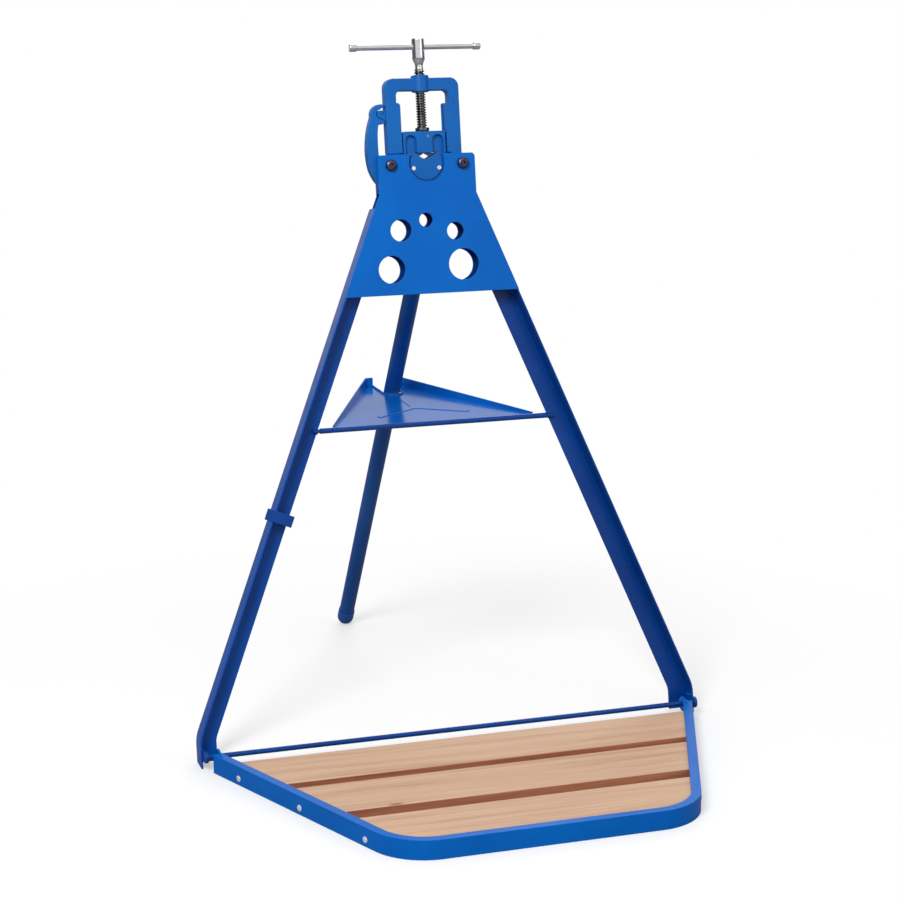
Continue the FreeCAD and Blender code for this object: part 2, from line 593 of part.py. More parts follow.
sink(yoke, "yoke_screw_bore", tap, "yoke_top - yoke_window_top + 4 * boss_above + boss_below")
node("yoke", yoke)

# ------------------------------------------------------------------ latch arm
latch = new_body("latch_arm")
arm_front = "mid_t + 1 - latch_wall / 2"
slab(latch, "latch_bar",
     [("latch_pivot_x - latch_eye + 1", "latch_pivot_z - 2"), ("latch_pivot_x", "latch_pivot_z - 2"),
      ("latch_pivot_x + 7", "latch_pivot_z + 8"),
      ("-latch_bow + latch_width + 3", "latch_pivot_z + 24", "15"),
      ("-latch_bow + latch_width", "latch_bow_height", "90"),
      ("-lug_reach - nose_radius - hook_gap - 1", "lug_height - nose_radius", "8"),
      ("-lug_reach - nose_radius - hook_gap", "lug_height + 2"),
      ("-lug_reach - nose_radius - hook_gap - hook_wall", "lug_height + 2"),
      ("-latch_bow - 1", "latch_bow_height + 8", "60"),
      ("-latch_bow + 4", "latch_pivot_z + 20", "40")], arm_front, "latch_wall")
disc(latch, "latch_boss", "latch_pivot_x", "latch_pivot_z", "latch_eye", arm_front, "latch_wall")
disc(latch, "latch_hook", "-lug_reach", "lug_height",
     "nose_radius + hook_gap + hook_wall", arm_front, "latch_wall")
bore(latch, "latch_hook_seat", [("-lug_reach", "lug_height", "nose_radius + hook_gap")],
     arm_front, "latch_wall")
far = "(nose_radius + hook_gap + hook_wall + 12)"
root = "(nose_radius + hook_gap + hook_wall + 0.5)"
window(latch, "latch_hook_mouth",
       [("-lug_reach", "lug_height"),
        ("-lug_reach + %s * cos(hook_root_angle * 1 deg)" % root,
         "lug_height + %s * sin(hook_root_angle * 1 deg)" % root),
        ("-lug_reach + " + far, "lug_height - " + far),
        ("-lug_reach + " + far, "lug_height + " + far),
        ("-lug_reach + %s * cos(hook_tip_angle * 1 deg)" % far,
         "lug_height + %s * sin(hook_tip_angle * 1 deg)" % far)], arm_front, "latch_wall")
bore(latch, "latch_pivot_bore", [("latch_pivot_x", "latch_pivot_z", "latch_bore / 2 + running_gap")],
     arm_front, "latch_wall")
node("latch_arm", latch)

# --------------------------------------------------------------- jaw carriage
carriage = new_body("jaw_carriage")
car_front = "mid_t - carriage_wall / 2"
reach = "(yoke_inner_half - side_gap)"
rear_face = "mid_t + yoke_wall / 2 + side_gap"
slab(carriage, "carriage_bar",
     [("-ear_inner - 1", "carriage_bottom"), ("-prong_half", "carriage_bottom", "3"),
      ("-prong_half", "prong_bottom"), ("prong_half", "prong_bottom"),
      ("prong_half", "carriage_bottom", "3"), ("ear_inner + 1", "carriage_bottom"),
      ("ear_inner + 1", "carriage_top", "3"), ("-ear_inner - 1", "carriage_top", "3")],
     car_front, "carriage_wall")
for side, sign in (("left", "-"), ("right", "")):
    slab(carriage, "carriage_ear_" + side,
         [(sign + "ear_inner", "carriage_bottom"), (sign + reach, "carriage_bottom"),
          (sign + reach, "carriage_top"), (sign + "ear_inner", "carriage_top")],
         "mid_t", "yoke_wall / 2 + side_gap + flange_wall")
    slab(carriage, "carriage_flange_" + side,
         [(sign + "ear_inner", "carriage_bottom"), (sign + "flange_half", "carriage_bottom", "4"),
          (sign + "flange_half", "ear_top", "5"), (sign + "ear_inner", "ear_top")],
         rear_face, "flange_wall")
    window(carriage, "carriage_arch_" + side,
           [(sign + "(prong_half + 2)", "carriage_bottom - 1"),
            (sign + "(ear_inner - 2)", "carriage_bottom - 1"),
            (sign + "(ear_inner - 2)", "carriage_top - 6", "9"),
            (sign + "(prong_half + 2)", "carriage_top - 6", "9")], car_front, "recess_depth")
hole = sketch(carriage, "journal_bore_sketch", "XY_Plane", "carriage_top + 1")
circle(hole, "0", "mid_t", "journal_radius + running_gap")
sink(carriage, "journal_bore", hole, "carriage_top + 1 - journal_bottom + side_gap")
bore(carriage, "keep_pin_hole", [("keep_pin_x", "keep_pin_z", "keep_pin_bore / 2")],
     car_front, "carriage_wall")
window(carriage, "blade_pocket",
       [("-prong_half", "prong_bottom - 1"), ("prong_half", "prong_bottom - 1"),
        ("prong_half", "blade_top"), ("-prong_half", "blade_top")],
       "mid_t - blade_wall / 2 - running_gap", "blade_wall + 2 * running_gap")
node("jaw_carriage", carriage)

blade = new_body("upper_jaw")
slab(blade, "upper_jaw_blade",
     [("-prong_half + running_gap", "blade_top - running_gap"),
      ("-prong_half + running_gap", "prong_bottom - running_gap"),
      ("-jaw_lip_half", "prong_bottom - running_gap"), ("-jaw_lip_half", "blade_low"),
      ("0", "blade_apex"), ("jaw_lip_half", "blade_low"),
      ("jaw_lip_half", "prong_bottom - running_gap"),
      ("prong_half - running_gap", "prong_bottom - running_gap"),
      ("prong_half - running_gap", "blade_top - running_gap")],
     "mid_t - blade_wall / 2", "blade_wall")
node("upper_jaw", blade)

keep = new_body("keep_pin")
disc(keep, "keep_pin_rod", "keep_pin_x", "keep_pin_z", "keep_pin_bore / 2", car_front,
     "carriage_wall")
node("keep_pin", keep)


# ------------------------------------------------------------- screw and T-bar
# the thread stands a little over its root radius; the yoke is bored clear of its crest
screw = new_body("vise_screw")
sk = sketch(screw, "screw_profile", "XZ_Plane", "0")
outline(sk, [("0", "journal_bottom"), ("journal_radius", "journal_bottom"),
             ("journal_radius", "keep_pin_z - groove_tall / 2"),
             ("journal_radius - groove_deep", "keep_pin_z - groove_tall / 2"),
             ("journal_radius - groove_deep", "keep_pin_z + groove_tall / 2"),
             ("journal_radius", "keep_pin_z + groove_tall / 2"),
             ("journal_radius", "carriage_top + side_gap"),
             ("thread_radius", "carriage_top + side_gap"), ("thread_radius", "thread_top"),
             ("neck_radius", "thread_top + 2"), ("neck_radius", "neck_top"),
             ("hub_radius", "neck_top + 2"), ("hub_radius", "hub_top - 2"),
             ("hub_radius - 2", "hub_top"), ("0", "hub_top")])
spin = screw.newObject("PartDesign::Revolution", "screw_turned")
spin.Profile = sk
spin.ReferenceAxis = (sk, ["V_Axis"])
spin.Angle = 360
cross_bore(screw, "screw_bar_hole", "0", "bar_height", "bar_radius + running_gap", "3 * hub_radius")
screw.setExpression("Placement.Base.y", ex("frame_y + mid_t * lean_cos"))
screw.setExpression("Placement.Base.z", ex("-mid_t * lean_sin"))
node("vise_screw", screw)

ring = new_body("screw_collar")
turned(ring, "screw_collar_ring",
       [("thread_radius + 0.02", "collar_bottom"), ("collar_radius", "collar_bottom"),
        ("collar_radius", "collar_bottom + collar_tall"),
        ("thread_radius + 0.02", "collar_bottom + collar_tall")])
ring.setExpression("Placement.Base.y", ex("frame_y + mid_t * lean_cos"))
ring.setExpression("Placement.Base.z", ex("-mid_t * lean_sin"))
node("screw_collar", ring)


def cross_rod(name, frame, y, z, spans, hollow=None):
    """Rod along X: spans are (start, end, radius) in order."""
    body = new_body(name, frame)
    for i, (x0, x1, radius) in enumerate(spans):
        sk = sketch(body, "%s_section_%d" % (name, i), "YZ_Plane", x0)
        circle(sk, y, z, radius)
        grow(body, "%s_length_%d" % (name, i), sk, "(%s) - (%s)" % (x1, x0))
    if hollow:
        sk = sketch(body, name + "_bore_section", "YZ_Plane", spans[0][0])
        circle(sk, y, z, hollow)
        sink(body, name + "_bore", sk, "(%s) - (%s)" % (spans[-1][1], spans[0][0]), reverse=True)
    return node(name, body)


bar_a = "bar_shift - bar_length / 2"
bar_b = "bar_shift + bar_length / 2"
cross_rod("handle_bar", "stand", "mid_t", "bar_height",
          [("%s + bar_end_length" % bar_a, "%s - bar_end_length" % bar_b, "bar_radius")])
cross_rod("handle_end_left", "stand", "mid_t", "bar_height",
          [(bar_a, "%s + bar_end_length" % bar_a, "bar_end_radius")])
cross_rod("handle_end_right", "stand", "mid_t", "bar_height",
          [("%s - bar_end_length" % bar_b, bar_b, "bar_end_radius")])

# ------------------------------------------------------------- hinged rear leg
bracket = new_body("rear_leg_bracket")
back = "(angle_size - angle_wall)"
inner = "(tube_radius + bracket_gap)"
sk = sketch(bracket, "bracket_side", "YZ_Plane")
outline(sk, [(back, "leg_pivot_z - bracket_half_tall"),
             ("leg_pivot_t + bracket_ear", "leg_pivot_z - bracket_ear", "bracket_ear - 1"),
             ("leg_pivot_t + bracket_ear", "leg_pivot_z + bracket_ear", "bracket_ear - 1"),
             (back, "leg_pivot_z + bracket_half_tall")])
grow(bracket, "bracket_block", sk, "2 * %s + 2 * bracket_wall" % inner, both=True)
window(bracket, "bracket_throat",
       [("-" + inner, "leg_pivot_z - 2 * bracket_half_tall"),
        (inner, "leg_pivot_z - 2 * bracket_half_tall"),
        (inner, "leg_pivot_z + 2 * bracket_half_tall"),
        ("-" + inner, "leg_pivot_z + 2 * bracket_half_tall")],
       back + " + bracket_wall", "leg_pivot_back + 2 * bracket_ear")
cross_bore(bracket, "bracket_pin_hole", "leg_pivot_t", "leg_pivot_z", "leg_pin_bore / 2",
           "4 * " + inner)
node("rear_leg_bracket", bracket)
ear_face = "(%s + bracket_wall)" % inner
cross_rod("rear_leg_pin", "stand", "leg_pivot_t", "leg_pivot_z",
          [("-%s - leg_pin_head_tall" % ear_face, "-" + ear_face, "leg_pin_head / 2"),
           ("-" + ear_face, ear_face, "leg_pin_bore / 2"),
           (ear_face, ear_face + " + leg_pin_head_tall", "leg_pin_head / 2")])

tube = new_body("rear_leg_tube", "leg")
sk = sketch(tube, "tube_section", "XY_Plane", "-leg_length")
circle(sk, "0", "0", "tube_radius")
circle(sk, "0", "0", "tube_radius - tube_wall")
grow(tube, "tube_length", sk, "leg_length + tube_above")
cross_bore(tube, "tube_pin_hole", "0", "0", "leg_pin_bore / 2 + running_gap", "4 * tube_radius")
node("rear_leg_tube", tube)
cap = new_body("rear_foot_cap", "leg")
turned(cap, "foot_cap_shell",
       [("tube_radius + running_gap", "-leg_length + cap_length"),
        ("cap_radius", "-leg_length + cap_length"),
        ("cap_radius", "-leg_length - cap_radius", "cap_round"),
        ("0", "-leg_length - cap_radius"), ("0", "-leg_length - running_gap"),
        ("tube_radius + running_gap", "-leg_length - running_gap")])
node("rear_foot_cap", cap)

# ----------------------------------------------------------------------- tray
cross_rod("tray_rod", "stand", "tray_rod_back", "tray_rod_z",
          [("-tray_rod_half", "tray_rod_half", "tray_rod_radius")])
for side, sign in (("left", "-1"), ("right", "1")):
    near = "tray_half + side_gap"
    a, b = (near, "spacer_outer") if side == "right" else ("-spacer_outer", "-(%s)" % near)
    cross_rod("tray_spacer_" + side, "stand", "tray_rod_back", "tray_rod_z",
              [(a, b, "spacer_radius")], hollow="tray_rod_radius + running_gap")

tray = new_body("tray_pan", "tray")


def tray_outline(inset, rear):
    """Plan of the pan, drawn `inset` inside its edge."""
    side = "(tray_half - %s)" % inset
    tip = "(horn_half - %s)" % inset
    gap = "(slot_half + %s)" % inset
    low = "(slot_depth - %s)" % inset
    return [("-" + side, rear), (side, rear), (tip, "tray_length - " + inset),
            (gap, "tray_length - " + inset), (gap, low, "slot_corner"),
            ("-" + gap, low, "slot_corner"), ("-" + gap, "tray_length - " + inset),
            ("-" + tip, "tray_length - " + inset)]


sk = sketch(tray, "tray_plan", "XY_Plane", "tray_floor_rise - tray_sheet")
outline(sk, tray_outline("0", "0"))
grow(tray, "tray_blank", sk, "tray_sheet + tray_rim")
sk = sketch(tray, "tray_hollow_plan", "XY_Plane", "tray_floor_rise + tray_rim + 1")
outline(sk, tray_outline("tray_sheet", "tray_sheet"))
sink(tray, "tray_hollow", sk, "tray_rim + 1")
sk = sketch(tray, "tray_slot_trim_plan", "XY_Plane", "tray_floor_rise + tray_rim + 1")
outline(sk, [("-slot_half - 2 * tray_sheet", "slot_depth - 4 * tray_sheet"),
             ("slot_half + 2 * tray_sheet", "slot_depth - 4 * tray_sheet"),
             ("slot_half + 2 * tray_sheet", "tray_length - 2 * tray_sheet"),
             ("-slot_half - 2 * tray_sheet", "tray_length - 2 * tray_sheet")])
sink(tray, "tray_slot_trim", sk, "tray_rim + 1 - slot_rim")
sk = sketch(tray, "tray_front_trim_plan", "XY_Plane", "tray_floor_rise + tray_rim + 1")
outline(sk, [("-tray_half + 2 * tray_sheet", "-1"), ("tray_half - 2 * tray_sheet", "-1"),
             ("tray_half - 2 * tray_sheet", "2 * tray_sheet"),
             ("-tray_half + 2 * tray_sheet", "2 * tray_sheet")])
sink(tray, "tray_front_trim", sk, "tray_rim + 1 - front_rim")
sk = sketch(tray, "tray_roll_section", "YZ_Plane")
circle(sk, "0", "0", "roll_radius")
grow(tray, "tray_roll", sk, "2 * tray_half - tray_sheet", both=True)
for name, pts in (
        ("stem", [("-rib_width / 2", "rib_fork"), ("rib_width / 2", "rib_fork"),
                  ("rib_width / 2", "rib_back", "4"), ("-rib_width / 2", "rib_back", "4")]),
        ("right", [("-rib_width / 2", "rib_fork + 2"), ("rib_arm_x - 5", "rib_arm_y - 3"),
                   ("rib_arm_x", "rib_arm_y + 4"), ("rib_width / 2", "rib_fork + 10")]),
        ("left", [("rib_width / 2", "rib_fork + 2"), ("-rib_arm_x + 5", "rib_arm_y - 3"),
                  ("-rib_arm_x", "rib_arm_y + 4"), ("-rib_width / 2", "rib_fork + 10")])):
    sk = sketch(tray, "tray_rib_%s_plan" % name, "XY_Plane", "tray_floor_rise - 0.5")
    outline(sk, pts)
    grow(tray, "tray_rib_" + name, sk, "rib_rise + 0.5")
cross_bore(tray, "tray_roll_bore", "0", "0", "tray_rod_radius + running_gap", "3 * tray_half")
node("tray_pan", tray)

# ------------------------------------------------------------------- platform
rail = new_body("rail_blank", "floor")
sk = sketch(rail, "rail_section", "YZ_Plane")
front_y = "-platform_reach"
outline(sk, [(front_y, "0"), (front_y + " + rail_width", "0"),
             (front_y + " + rail_width", "rail_wall"), (front_y + " + rail_wall", "rail_wall"),
             (front_y + " + rail_wall", "rail_tall - rail_wall"),
             (front_y + " + rail_width", "rail_tall - rail_wall"),
             (front_y + " + rail_width", "rail_tall"), (front_y, "rail_tall")])
path = sketch(rail, "rail_path", "XY_Plane")
outline(path, [("0", front_y), ("rail_front_half", front_y, "rail_corner"),
               ("rail_rear_half", "-rail_rear_gap")], closed=False)
pipe = rail.newObject("PartDesign::AdditivePipe", "rail_sweep")
pipe.Profile = sk
pipe.Spine = (path, ["Edge1", "Edge2", "Edge3"])
twin = rail.newObject("PartDesign::Mirrored", "rail_both_sides")
twin.Originals = [pipe]
twin.MirrorPlane = (plane(rail, "YZ_Plane"), [""])
rail.Tip = twin

SCREWS = [("back", "screw_back_near"), ("middle", "screw_middle_near"),
          ("front", "screw_front_near")]


bores = []
for row, near in SCREWS:
    body = new_body("screw_right_" + row, "floor")
    sk = sketch(body, "shank_section_" + row, "YZ_Plane", "0")
    circle(sk, "0", "0", "plank_screw_shank")
    grow(body, "shank_" + row, sk, "plank_screw_length", reverse=True)
    sk = sketch(body, "head_section_" + row, "YZ_Plane", "0")
    circle(sk, "0", "0", "plank_screw_head")
    grow(body, "head_" + row, sk, "plank_screw_cap")
    body.Placement = FreeCAD.Placement(
        V(0, 0, 0), FreeCAD.Rotation(V(0, 0, 1), -num("platform_angle")))
    body.setExpression("Placement.Base.x", ex("platform_half - platform_slope * " + near))
    body.setExpression("Placement.Base.y", ex("frame_y - " + near))
    body.setExpression("Placement.Base.z", ex("plank_screw_z"))
    body.setExpression("Placement.Rotation.Angle", ex("-platform_angle"))
    node("plank_screw_right_" + row, body)
    node("plank_screw_left_" + row, mirrored("screw_left_" + row, body))
    drill = doc.addObject("Part::Cylinder", "drill_right_" + row)
    drill.setExpression("Radius", ex("plank_screw_shank + running_gap"))
    drill.setExpression("Height", ex("plank_screw_length + 2"))
    turn = FreeCAD.Rotation(V(0, 0, 1), -num("platform_angle")).multiply(
        FreeCAD.Rotation(V(0, 1, 0), -90))
    drill.Placement = FreeCAD.Placement(V(0, 0, 0), turn)
    drill.setExpression("Placement.Base.x", ex("platform_half - platform_slope * " + near))
    drill.setExpression("Placement.Base.y", ex("frame_y - " + near))
    drill.setExpression("Placement.Base.z", ex("plank_screw_z"))
    bores += [drill, mirrored("drill_left_" + row, drill)]
drills = doc.addObject("Part::MultiFuse", "screw_drills")
drills.Shapes = bores
platform_rail = node("platform_rail", cut("platform_rail_drilled", rail, drills))

for name, near, corner in (("back", "plank_back_near", None),
                           ("middle", "plank_middle_near", None),
                           ("front", "plank_front_near", "plank_corner")):
    body = new_body("plank_blank_" + name, "floor")
    sk = sketch(body, "plank_plan_" + name, "XY_Plane", "plank_z")
    far_y = "(%s + plank_width)" % near
    a = "(plank_edge - platform_slope * %s)" % near
    b = "(plank_edge - platform_slope * %s)" % far_y
    left = ("-" + b, "-" + far_y) + ((corner,) if corner else ())
    right = (b, "-" + far_y) + ((corner,) if corner else ())
    outline(sk, [("-" + a, "-" + near), left, right, (a, "-" + near)])
    grow(body, "plank_board_" + name, sk, "plank_wall")
    node("plank_" + name, cut("plank_drilled_" + name, body, drills))

ear = new_body("ear_blank", "floor")
sk = sketch(ear, "ear_side", "YZ_Plane", "ear_inside")
outline(sk, [("prod_y + ear_round", "prod_z - ear_round", "ear_round - 0.5"),
             ("prod_y + ear_round", "prod_z + ear_peak", "4"),
             ("-ear_reach", "rail_tall"), ("-ear_reach", "prod_z - ear_round")])
grow(ear, "ear_plate", sk, "ear_wall")
cross = sketch(ear, "ear_hole_sketch", "YZ_Plane", "ear_inside")
circle(cross, "prod_y", "prod_z", "platform_rod_radius + running_gap")
sink(ear, "ear_hole", cross, "ear_wall", reverse=True)
right_ear = node("platform_ear_right", cut("ear_right_fitted", ear, rail))
node("platform_ear_left", mirrored("ear_left_twin", right_ear))

cross_rod("platform_rod", "floor", "prod_y", "prod_z",
          [("-foot_half + 1", "foot_half - 1", "platform_rod_radius")])
lug = new_body("lug_blank")
sk = sketch(lug, "lug_side", "YZ_Plane", "hinge_lug_half - lug_thick")
rod_t = "(-platform_rod_front)"
outline(sk, [(rod_t + " - hinge_lug_radius", "platform_rod_z - hinge_lug_radius", "hinge_lug_radius - 0.3"),
             ("hinge_lug_depth", "platform_rod_z - hinge_lug_radius"),
             ("hinge_lug_depth", "platform_rod_z + hinge_lug_radius"),
             (rod_t + " - hinge_lug_radius", "platform_rod_z + hinge_lug_radius", "hinge_lug_radius - 0.3")])
grow(lug, "lug_plate", sk, "lug_thick")
cross = sketch(lug, "lug_hole_sketch", "YZ_Plane", "hinge_lug_half - lug_thick")
circle(cross, rod_t, "platform_rod_z", "platform_rod_radius")
sink(lug, "lug_hole", cross, "lug_thick", reverse=True)
node("platform_lug_right", lug)
node("platform_lug_left", mirrored("lug_left_twin", lug))

# ------------------------------------------------------- bracket on the left leg
clip = new_body("leg_clip")
clip_x = "(foot_half - leg_slope * (clip_height - foot_bend_height))"


def on_leg(along, inward):
    """Point on the face of the left leg, from the middle of the strap on its outer edge."""
    return ("-%s + (%s) * leg_sin + (%s) * leg_cos" % (clip_x, along, inward),
            "clip_height + (%s) * leg_cos - (%s) * leg_sin" % (along, inward))


def strap(name, start, end, front, depth):
    """Strip of the strap, from `start` to `end` across the leg."""
    low = "-clip_width / 2"
    high = "clip_width / 2"
    slab(clip, name, [on_leg(low, start), on_leg(low, end), on_leg(high, end),
                      on_leg(high, start)], front, depth)


strap("clip_face", "-clip_overhang", "angle_size", "-clip_wall", "clip_wall")
strap("clip_side", "angle_size - clip_wall", "angle_size", "0", "angle_size - angle_wall")
node("leg_clip", clip)

doc.recompute()

bad = [o.Name for o in doc.Objects if "Invalid" in o.State or "Error" in o.State]
if bad:
    raise RuntimeError("features with errors: " + ", ".join(bad))
os.makedirs("parts", exist_ok=True)
for name, thing in NODES.items():
    shape = thing.Shape
    if shape.isNull() or not shape.isValid() or not shape.Solids:
        raise RuntimeError("bad solid: " + name)
    shape.exportStep("parts/%s.step" % name)
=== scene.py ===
import json
import math
import random

import bmesh
import bpy
from mathutils import Matrix, Vector


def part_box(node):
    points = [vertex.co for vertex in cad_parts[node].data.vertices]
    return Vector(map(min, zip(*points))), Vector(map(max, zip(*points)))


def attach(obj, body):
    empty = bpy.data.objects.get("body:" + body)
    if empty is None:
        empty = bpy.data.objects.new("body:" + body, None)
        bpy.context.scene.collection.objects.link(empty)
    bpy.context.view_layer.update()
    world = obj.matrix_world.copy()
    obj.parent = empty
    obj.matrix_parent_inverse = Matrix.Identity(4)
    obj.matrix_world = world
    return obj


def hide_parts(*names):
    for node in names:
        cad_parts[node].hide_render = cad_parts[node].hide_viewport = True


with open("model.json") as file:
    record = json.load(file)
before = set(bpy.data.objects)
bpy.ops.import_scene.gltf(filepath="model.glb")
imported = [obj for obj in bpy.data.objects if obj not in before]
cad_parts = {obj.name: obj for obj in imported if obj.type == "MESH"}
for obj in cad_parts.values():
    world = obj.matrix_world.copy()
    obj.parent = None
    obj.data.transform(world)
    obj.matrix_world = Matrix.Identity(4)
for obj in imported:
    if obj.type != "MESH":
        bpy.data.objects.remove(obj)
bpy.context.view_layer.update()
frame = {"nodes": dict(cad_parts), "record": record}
NODES = frame["nodes"]
BODY = {node: body for body, nodes in frame["record"]["behaviour"]["bodies"].items()
        for node in nodes}
scene = bpy.context.scene
scene.view_settings.view_transform = "Standard"
rng = random.Random(7)

# ------------------------------------------------------- frames and shared sizes
# Sizes are in mm. In the front frame, which leans back, u runs across, v up along the
# legs and t to the rear; t = 0 is the face of the stand. In the floor frame y runs to the
# rear from the line between the feet.
LEAN = math.radians(9.5)
SIN, COS = math.sin(LEAN), math.cos(LEAN)
PLATFORM_REACH = 444.8
FRAME_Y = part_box("platform_rail")[0].y * 1000 + PLATFORM_REACH

FOOT_HALF, BEND_HEIGHT = 413.0, 46.0    # outer edge of a foot, and where its leg bends
ANGLE_WIDE = 32.0                       # flange of the legs' steel angle
SLOPE = 270.0 / 665.0                   # of the legs and of the platform's sides
TRAY_ROD, TRAY_ROD_HALF = (505.7, 25.0), 200.6          # v and t of its axis
TRAY_HALF = 169.0
PLATFORM_ROD, PLATFORM_ROD_HALF = (20.5, -13.6), 410.6  # v and t of its axis
LEG_PIVOT = (780.0, 53.5)               # v and t of the rear leg's rivet

BOLT_HALF, BOLT_HEIGHT = 58.8, 913.0    # the base's bolt and the yoke's pin
HEAD_FRONT, NUT_BACK = -3.0, 37.0       # depths of their heads' undersides and nuts' backs
MID_T = 12.0                            # depth of the screw and the jaws
YOKE_HALF, YOKE_TOP = 60.5, 1047.5
YOKE_FRONT, YOKE_BACK = 2.0, 22.0
WINDOW_HALF, WINDOW_TOP = 42.5, 1028.0
ARM_LOW = 930.3                         # lower end of the yoke's left arm
NOSE, LATCH_PIVOT = (-68.5, 993.0), (-66.0, 883.0)      # u and v
CARRIAGE_LOW, CARRIAGE_TOP = 930.4, 965.0
KEEP_U, KEEP_HEIGHT = 6.95, 957.0       # the pin that keeps the screw in the carriage

JAW_LOW, JAW_HALF = 900.0, 27.0         # lower jaw
JAW_APEX, JAW_LIP = 921.4, 931.79       # the middle and the ends of its V
VEE_HALF = 18.0                         # of both jaws
BLADE_APEX, BLADE_LOW = 930.6, 920.21   # the middle and the ends of the upper jaw's V
BLADE_TOP = 931.15
TANG_HALF, TANG_TOP = 11.95, 944.95     # the part of the upper jaw in the carriage

JOURNAL_LOW, THREAD_TOP = 949.0, 1062.0
HUB_LOW, NECK_TOP, HUB_TOP = 1072.0, 1081.0, 1112.0     # head of the screw


def stand(u, v, t):
    """Point of the front frame, in metres."""
    return Vector((u, FRAME_Y + v * SIN + t * COS, v * COS - t * SIN)) / 1000


def floor_point(x, y, z):
    """Point of the floor frame, in metres."""
    return Vector((x, FRAME_Y + y, z)) / 1000


STAND = Matrix.Translation(stand(0, 0, 0)) @ Matrix.Rotation(-LEAN, 4, "X")


def upward(u, v, t):
    """Place whose Z axis runs up along the front frame."""
    return STAND @ Matrix.Translation(Vector((u, t, v)) / 1000)


def facing_front(u, v, t):
    """Place whose Z axis points out of the face of the stand."""
    return upward(u, v, t) @ Matrix.Rotation(math.pi / 2, 4, "X")


def across(u, v, t):
    """Place whose Z axis points to +X."""
    return upward(u, v, t) @ Matrix.Rotation(math.pi / 2, 4, "Y")


# --------------------------------------------------------------- materials
class Nodes:
    """A node tree with short calls for the nodes used here."""

    def __init__(self, tree):
        self.tree = tree

    def put(self, socket, value):
        """Join a socket to another, or set it to a number, a vector or a colour."""
        if isinstance(value, bpy.types.NodeSocket):
            self.tree.links.new(value, socket)
        elif socket.type == "RGBA":
            socket.default_value = (*value[:3], 1)
        else:
            socket.default_value = value

    def node(self, kind, operation=None, **inputs):
        new = self.tree.nodes.new(kind)
        if operation:
            new.operation = operation
        for key, value in inputs.items():
            self.put(new.inputs[key], value)
        return new

    def ordered(self, kind, operation, *values):
        """Node whose inputs are known by their order rather than by name."""
        new = self.node(kind, operation)
        for socket, value in zip(new.inputs, values):
            self.put(socket, value)
        return new

    def ramp(self, fac, stops):
        """Colour ramp; a stop is its place and a colour or a shade of grey."""
        new = self.node("ShaderNodeValToRGB", Fac=fac)
        elements = new.color_ramp.elements
        while len(elements) < len(stops):
            elements.new(0.5)
        for element, (place, colour) in zip(elements, stops):
            element.position = place
            element.color = (*(colour if isinstance(colour, tuple) else (colour,) * 3), 1)
        return new.outputs["Color"]

    def mix(self, fac, a, b):
        """Colour between a and b."""
        new = self.tree.nodes.new("ShaderNodeMix")
        new.data_type = "RGBA"
        for index, value in ((0, fac), (6, a), (7, b)):
            self.put(new.inputs[index], value)
        return new.outputs[2]

    def math(self, operation, a, b=0.0):
        return self.ordered("ShaderNodeMath", operation, a, b).outputs[0]


class Mat(Nodes):
    """A Principled material with textures in object space."""

    def __init__(self, name):
        self.material = bpy.data.materials.new(name)
        self.material.use_nodes = True
        super().__init__(self.material.node_tree)
        self.bsdf = self.tree.nodes["Principled BSDF"]
        self.coord = self.node("ShaderNodeTexCoord")

    def mapped(self, scale=(1, 1, 1), location=(0, 0, 0)):
        return self.node("ShaderNodeMapping", Scale=scale, Location=location,
                         Vector=self.coord.outputs["Object"]).outputs["Vector"]

    def noise(self, scale, vector=None, detail=3.0, rough=0.5, distortion=0.0):
        return self.node("ShaderNodeTexNoise", Vector=vector or self.mapped(), Scale=scale,
                         Detail=detail, Roughness=rough, Distortion=distortion).outputs["Fac"]

    def bump(self, height, strength, distance=0.001, normal=None):
        new = self.node("ShaderNodeBump", Height=height, Strength=strength, Distance=distance)
        if normal is not None:
            self.put(new.inputs["Normal"], normal)
        return new.outputs["Normal"]

    def set(self, **values):
        for key, value in values.items():
            self.put(self.bsdf.inputs[key.replace("_", " ")], value)


def srgb(r, g, b):
    return tuple(((c / 255 + 0.055) / 1.055) ** 2.4 if c > 10 else c / 255 / 12.92
                 for c in (r, g, b))


def dimmed(colour, share):
    return tuple(c * share for c in colour)


def paint(name, colour, deep, cast=0.0, rough=(0.26, 0.36), peel=0.08, shine=0.14):
    """Blue gloss enamel: slight cloudiness, orange peel and, on castings, a sandy skin."""
    m = Mat(name)
    cloud = m.noise(6.0, detail=4.0)
    base = m.mix(m.ramp(cloud, [(0.35, 0.0), (0.7, 1.0)]), deep, colour)
    speck = m.ramp(m.noise(420.0, detail=1.0), [(0.72, 0.0), (0.80, 1.0)])
    base = m.mix(m.math("MULTIPLY", speck, 0.07), base, srgb(120, 165, 215))
    normal = m.bump(m.noise(260.0, detail=2.0), peel, 0.0004)
    if cast:
        normal = m.bump(m.noise(150.0, detail=4.0, rough=0.6), cast, 0.0010, normal)
    m.set(Base_Color=base, Normal=normal, Specular_IOR_Level=shine,
          Roughness=m.ramp(m.noise(38.0, detail=5.0), [(0.3, rough[0]), (0.75, rough[1])]))
    return m.material


